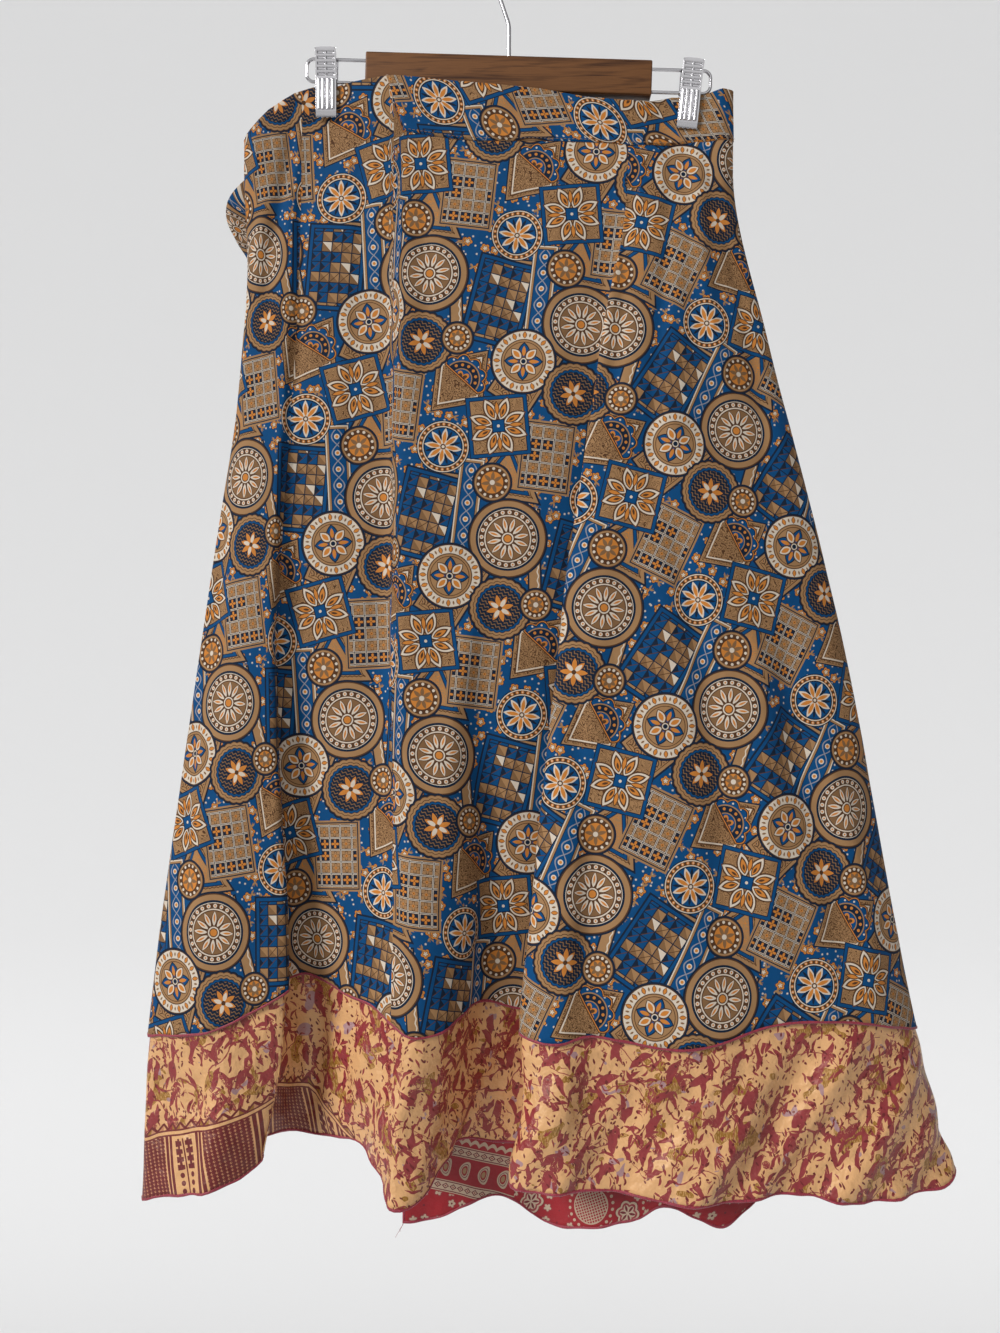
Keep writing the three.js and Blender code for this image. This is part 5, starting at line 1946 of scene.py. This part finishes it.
def tilt_with_bar(made, side=1):
    """Brings a piece from the level bar to its place; side -1 mirrors it to the left first."""
    place = Matrix.Translation(Vector(BAR_PLACE) * MM) @ Matrix.Rotation(BAR_TILT, 4, "Y")
    made.data.transform(place @ Matrix.Scale(side, 4, (1, 0, 0)))
    if side < 0:
        made.data.flip_normals()


def make_bar():
    bpy.ops.object.select_all(action="DESELECT")
    bpy.ops.mesh.primitive_cube_add(size=1, location=(0, 0, -BAR_SIZE[2] / 2 * MM))
    bar = bpy.context.object
    bar.name = bar.data.name = "walnut_bar"
    bar.scale = Vector(BAR_SIZE) * MM
    bpy.ops.object.transform_apply(location=True, rotation=True, scale=True)
    choose(bar, "EDGE", lambda middle: True)
    bpy.ops.mesh.bevel(offset=1.3 * MM, segments=4, affect="EDGES")
    end = BAR_SIZE[0] / 2 - 0.01
    choose(bar, "FACE", lambda middle: abs(middle.x) > end)
    bpy.ops.mesh.inset(thickness=2.2 * MM, depth=0)
    bpy.ops.mesh.inset(thickness=0.5 * MM, depth=-0.35 * MM)
    close_edit(bar)
    tilt_with_bar(bar)
    return finish_piece(bar, walnut(), ("wood_bar",))


def make_loops(wire):
    run = LOOP_FAR - LOOP_CORNER - LOOP_START
    corner = LOOP_FAR - LOOP_CORNER
    moves = (
        run,
        ((corner, 0, LOOP_UPPER - LOOP_CORNER), 90),
        LOOP_UPPER - LOOP_LOWER - 2 * LOOP_CORNER,
        ((corner, 0, LOOP_LOWER + LOOP_CORNER), 90),
        run,
    )
    for name, side in (("wire_left", -1), ("wire_right", 1)):
        loop = bent_wire(f"{name}_loop", (LOOP_START, 0, LOOP_UPPER), (1, 0, 0), wire, moves)
        tilt_with_bar(loop, side)
        finish_piece(loop, chrome(), (name,))


def make_hook(wire):
    moves = (HOOK_RISE, (HOOK_KINK, -HOOK_LEAN), HOOK_RUN, (HOOK_CENTRE, HOOK_TURN))
    hook = bent_wire("hook_wire", HOOK_START, (0, 0, 1), wire, moves)
    finish_piece(hook, chrome(), ("hook",))


def make_jaw(name, bite):
    """A pressed jaw that faces -Y: rows of lozenges above, four flutes below and a toothed lip."""
    columns, rows = len(JAW_LINES), len(JAW_ROWS)
    bpy.ops.object.select_all(action="DESELECT")
    bpy.ops.mesh.primitive_grid_add(x_subdivisions=columns - 1, y_subdivisions=rows - 1, size=2)
    jaw = bpy.context.object
    jaw.name = jaw.data.name = name
    heights = (-JAW_HEIGHT, -JAW_HEIGHT + 6, -22, 0)
    outs = (bite + 1.1, bite + 2.2, 6.5, 9.5)
    for point in jaw.data.vertices:
        column = round((point.co.x + 1) / 2 * (columns - 1))
        row = round((1 - point.co.y) / 2 * (rows - 1))
        x, z = JAW_LINES[column], JAW_ROWS[row]
        if row == 0:
            z -= max(0, abs(x) - 6.5) * 0.9
        if row == rows - 1:
            z += 0.8 * (column % 2)
        point.co = Vector((x, -np.interp(JAW_ROWS[row], heights, outs), z)) * MM

    def between_rows(z, first):
        return JAW_ROWS[first + 1] < z < JAW_ROWS[first]

    choose(jaw, "FACE", lambda middle: 1 < abs(middle.x) < 6.9 and any(
        between_rows(middle.z, row) for row in LOZENGES
    ))
    bpy.ops.mesh.inset(thickness=0.8 * MM, depth=-0.9 * MM)
    choose(jaw, "FACE", lambda middle: (1 < abs(middle.x) < 3.5 or 4.4 < abs(middle.x) < 6.9) and any(
        between_rows(middle.z, row) for row in FLUTES
    ))
    bpy.ops.mesh.inset(thickness=0.35 * MM, depth=0.9 * MM)
    bpy.ops.mesh.inset(thickness=0.5 * MM, depth=0.25 * MM)
    edge = JAW_LINES[-1] - 0.05
    choose(jaw, "EDGE", lambda middle: abs(middle.x) > edge and FLANGE[1] < middle.z < FLANGE[0])
    bpy.ops.mesh.extrude_region_move(TRANSFORM_OT_translate={"value": (0, 3.6 * MM, 0)})
    close_edit(jaw)
    if sum(face.normal.y * face.area for face in jaw.data.polygons) > 0:
        jaw.data.flip_normals()
    apply_modifier(jaw, "SOLIDIFY", thickness=0.8 * MM, offset=-1)
    apply_modifier(
        jaw, "BEVEL", width=0.16 * MM, segments=2, limit_method="ANGLE", angle_limit=math.radians(35)
    )
    return jaw


def make_spring(name):
    """A coil on the X axis with a leg from each end up against its jaw."""
    turn = np.linspace(0, 2 * math.pi * COIL_TURNS, 133)
    coil = np.stack((
        np.linspace(-COIL_HALF, COIL_HALF, len(turn)), COIL_RADIUS * np.cos(turn), COIL_RADIUS * np.sin(turn),
    ), -1)
    first = coil[0] + np.array([(-0.3, 3.0, 11.0), (-0.2, 2.0, 6.0), (0, 0.6, 2.0)])
    last = coil[-1] + np.array([(0, -0.6, 2.0), (0.2, -2.0, 6.0), (0.3, -3.0, 11.0)])
    return tube(name, np.concatenate((first, coil, last)), COIL_WIRE, 8, (1, 0, 0))


class SKIRT_OT_hanger(bpy.types.Operator):
    """Make the walnut bar, the hook, the wire loops and the two clips"""

    bl_idname = "skirt.hanger"
    bl_label = "Hanger"

    def execute(self, context):
        sizes = context.scene.skirt_hanger
        make_bar()
        make_hook(sizes.hook_wire / 2 / MM)
        make_loops(sizes.loop_wire / 2 / MM)
        for clip in CLIPS:
            corner = Matrix.Translation(Vector((clip.x, 0, clip.top)) * MM)
            place = corner @ Matrix.Rotation(clip.lean, 4, "Y")
            front = make_jaw(f"{clip.name}_front_jaw", clip.bite_front)
            back = make_jaw(f"{clip.name}_back_jaw", clip.bite_back)
            back.data.transform(Matrix.Rotation(math.pi, 4, "Z"))
            spring = make_spring(f"{clip.name}_coil")
            rise = Matrix.Translation((0, 0, (clip.wire_height - clip.top) * MM))
            spring.data.transform(rise @ Matrix.Rotation(BAR_TILT - clip.lean, 4, "Y"))
            for made, node in ((front, "front"), (back, "back"), (spring, "spring")):
                made.data.transform(place)
                finish_piece(made, chrome(), (f"{clip.name}_{node}",))
        return {"FINISHED"}


# ---- stage ----

FLOOR = -2.35
WALL = 2.6
COVE = 0.9
CAMERA = (-0.0069, -0.9, -0.5921)
BRIGHTEST = (0, -0.88, 0.47)
# The room's brightness, from its brightest heading round to the opposite one.
ROOM = (
    (0.0, (1.15, 1.15, 1.15)), (0.035, (1.0, 1.0, 1.0)), (0.09, (0.26, 0.26, 0.27)),
    (0.5, (0.28, 0.28, 0.28)), (1.0, (0.4, 0.4, 0.4)),
)
SUN_HEADING = (0.7, 0.55, -0.46)
SUN_SPREAD = math.radians(22)
LENS = 30


class SKIRT_OT_stage(bpy.types.Operator):
    """Make the pale floor that rises into a wall, the light of a window, the room and the camera"""

    bl_idname = "skirt.stage"
    bl_label = "Stage"

    def execute(self, context):
        settings = context.scene.skirt_stage
        turn = np.linspace(0, math.pi / 2, 13)
        profile = [(-5, FLOOR)] + [
            (WALL - COVE + COVE * math.sin(a), FLOOR + COVE - COVE * math.cos(a)) for a in turn
        ] + [(WALL, 4)]
        points = [[(x, y, z) for x in (-7, 7)] for y, z in profile]
        grid = np.array(points) / MM
        stage = mesh_object("stage", grid, grid_quads(*grid.shape[:2])[..., ::-1].reshape(-1, 4))
        material, _, shader = new_material("pale wall")
        shader.inputs["Base Color"].default_value = (*settings.wall, 1)
        shader.inputs["Roughness"].default_value = 0.9
        stage.data.materials.append(material)
        light = bpy.data.lights.new("window", "SUN")
        light.angle, light.energy = SUN_SPREAD, settings.window
        lamp = bpy.data.objects.new("window", light)
        lamp.rotation_euler = Vector(SUN_HEADING).to_track_quat("-Z", "Y").to_euler()
        context.scene.collection.objects.link(lamp)
        world = bpy.data.worlds.new("soft room")
        world.use_nodes = True
        tree = world.node_tree
        heading = tree.nodes.new("ShaderNodeTexCoord")
        toward = add_node(
            tree, "ShaderNodeVectorMath", heading.outputs["Generated"], BRIGHTEST, operation="DOT_PRODUCT"
        )
        bright = ramp(tree, map_value(tree, toward.outputs["Value"], 1, 0, -1), ROOM)
        tree.links.new(bright, tree.nodes["Background"].inputs["Color"])
        tree.nodes["Background"].inputs["Strength"].default_value = settings.world
        context.scene.world = world
        context.scene.view_settings.view_transform = "Standard"
        camera = bpy.data.cameras.new("camera")
        camera.sensor_fit, camera.sensor_width, camera.sensor_height = "AUTO", 36, 36
        camera.lens = LENS
        holder = bpy.data.objects.new("camera", camera)
        holder.location = CAMERA
        holder.rotation_euler = (math.pi / 2, 0, 0)
        context.scene.collection.objects.link(holder)
        context.scene.camera = holder
        return {"FINISHED"}


# ---- panel and start ----

class SKIRT_PT_panel(bpy.types.Panel):
    """The skirt's pieces, in the order they are made"""

    bl_idname = "SKIRT_PT_panel"
    bl_label = "Wrap skirt"
    bl_space_type = "VIEW_3D"
    bl_region_type = "UI"
    bl_category = "Skirt"

    def draw(self, context):
        for name in SETTINGS:
            group = getattr(context.scene, name)
            box = self.layout.box()
            for key in group.__annotations__:
                box.prop(group, key)
        for maker in MAKERS:
            self.layout.operator(maker.bl_idname)


SETTINGS = {
    "skirt_cloth": SKIRT_PG_cloth,
    "skirt_colours": SKIRT_PG_colours,
    "skirt_hanger": SKIRT_PG_hanger,
    "skirt_stage": SKIRT_PG_stage,
}
MAKERS = (
    SKIRT_OT_stage, SKIRT_OT_outer_layer, SKIRT_OT_under_layer, SKIRT_OT_inner_end,
    SKIRT_OT_waistband, SKIRT_OT_tie, SKIRT_OT_hanger,
)


def register():
    for made in (*SETTINGS.values(), *MAKERS, SKIRT_PT_panel):
        bpy.utils.register_class(made)
    for name, group in SETTINGS.items():
        setattr(bpy.types.Scene, name, bpy.props.PointerProperty(type=group))


def unregister():
    for name in SETTINGS:
        delattr(bpy.types.Scene, name)
    for made in (SKIRT_PT_panel, *MAKERS, *SETTINGS.values()):
        bpy.utils.unregister_class(made)


def main():
    register()
    for maker in MAKERS:
        section, name = maker.bl_idname.split(".")
        getattr(getattr(bpy.ops, section), name)()


if __name__ == "__main__":
    main()
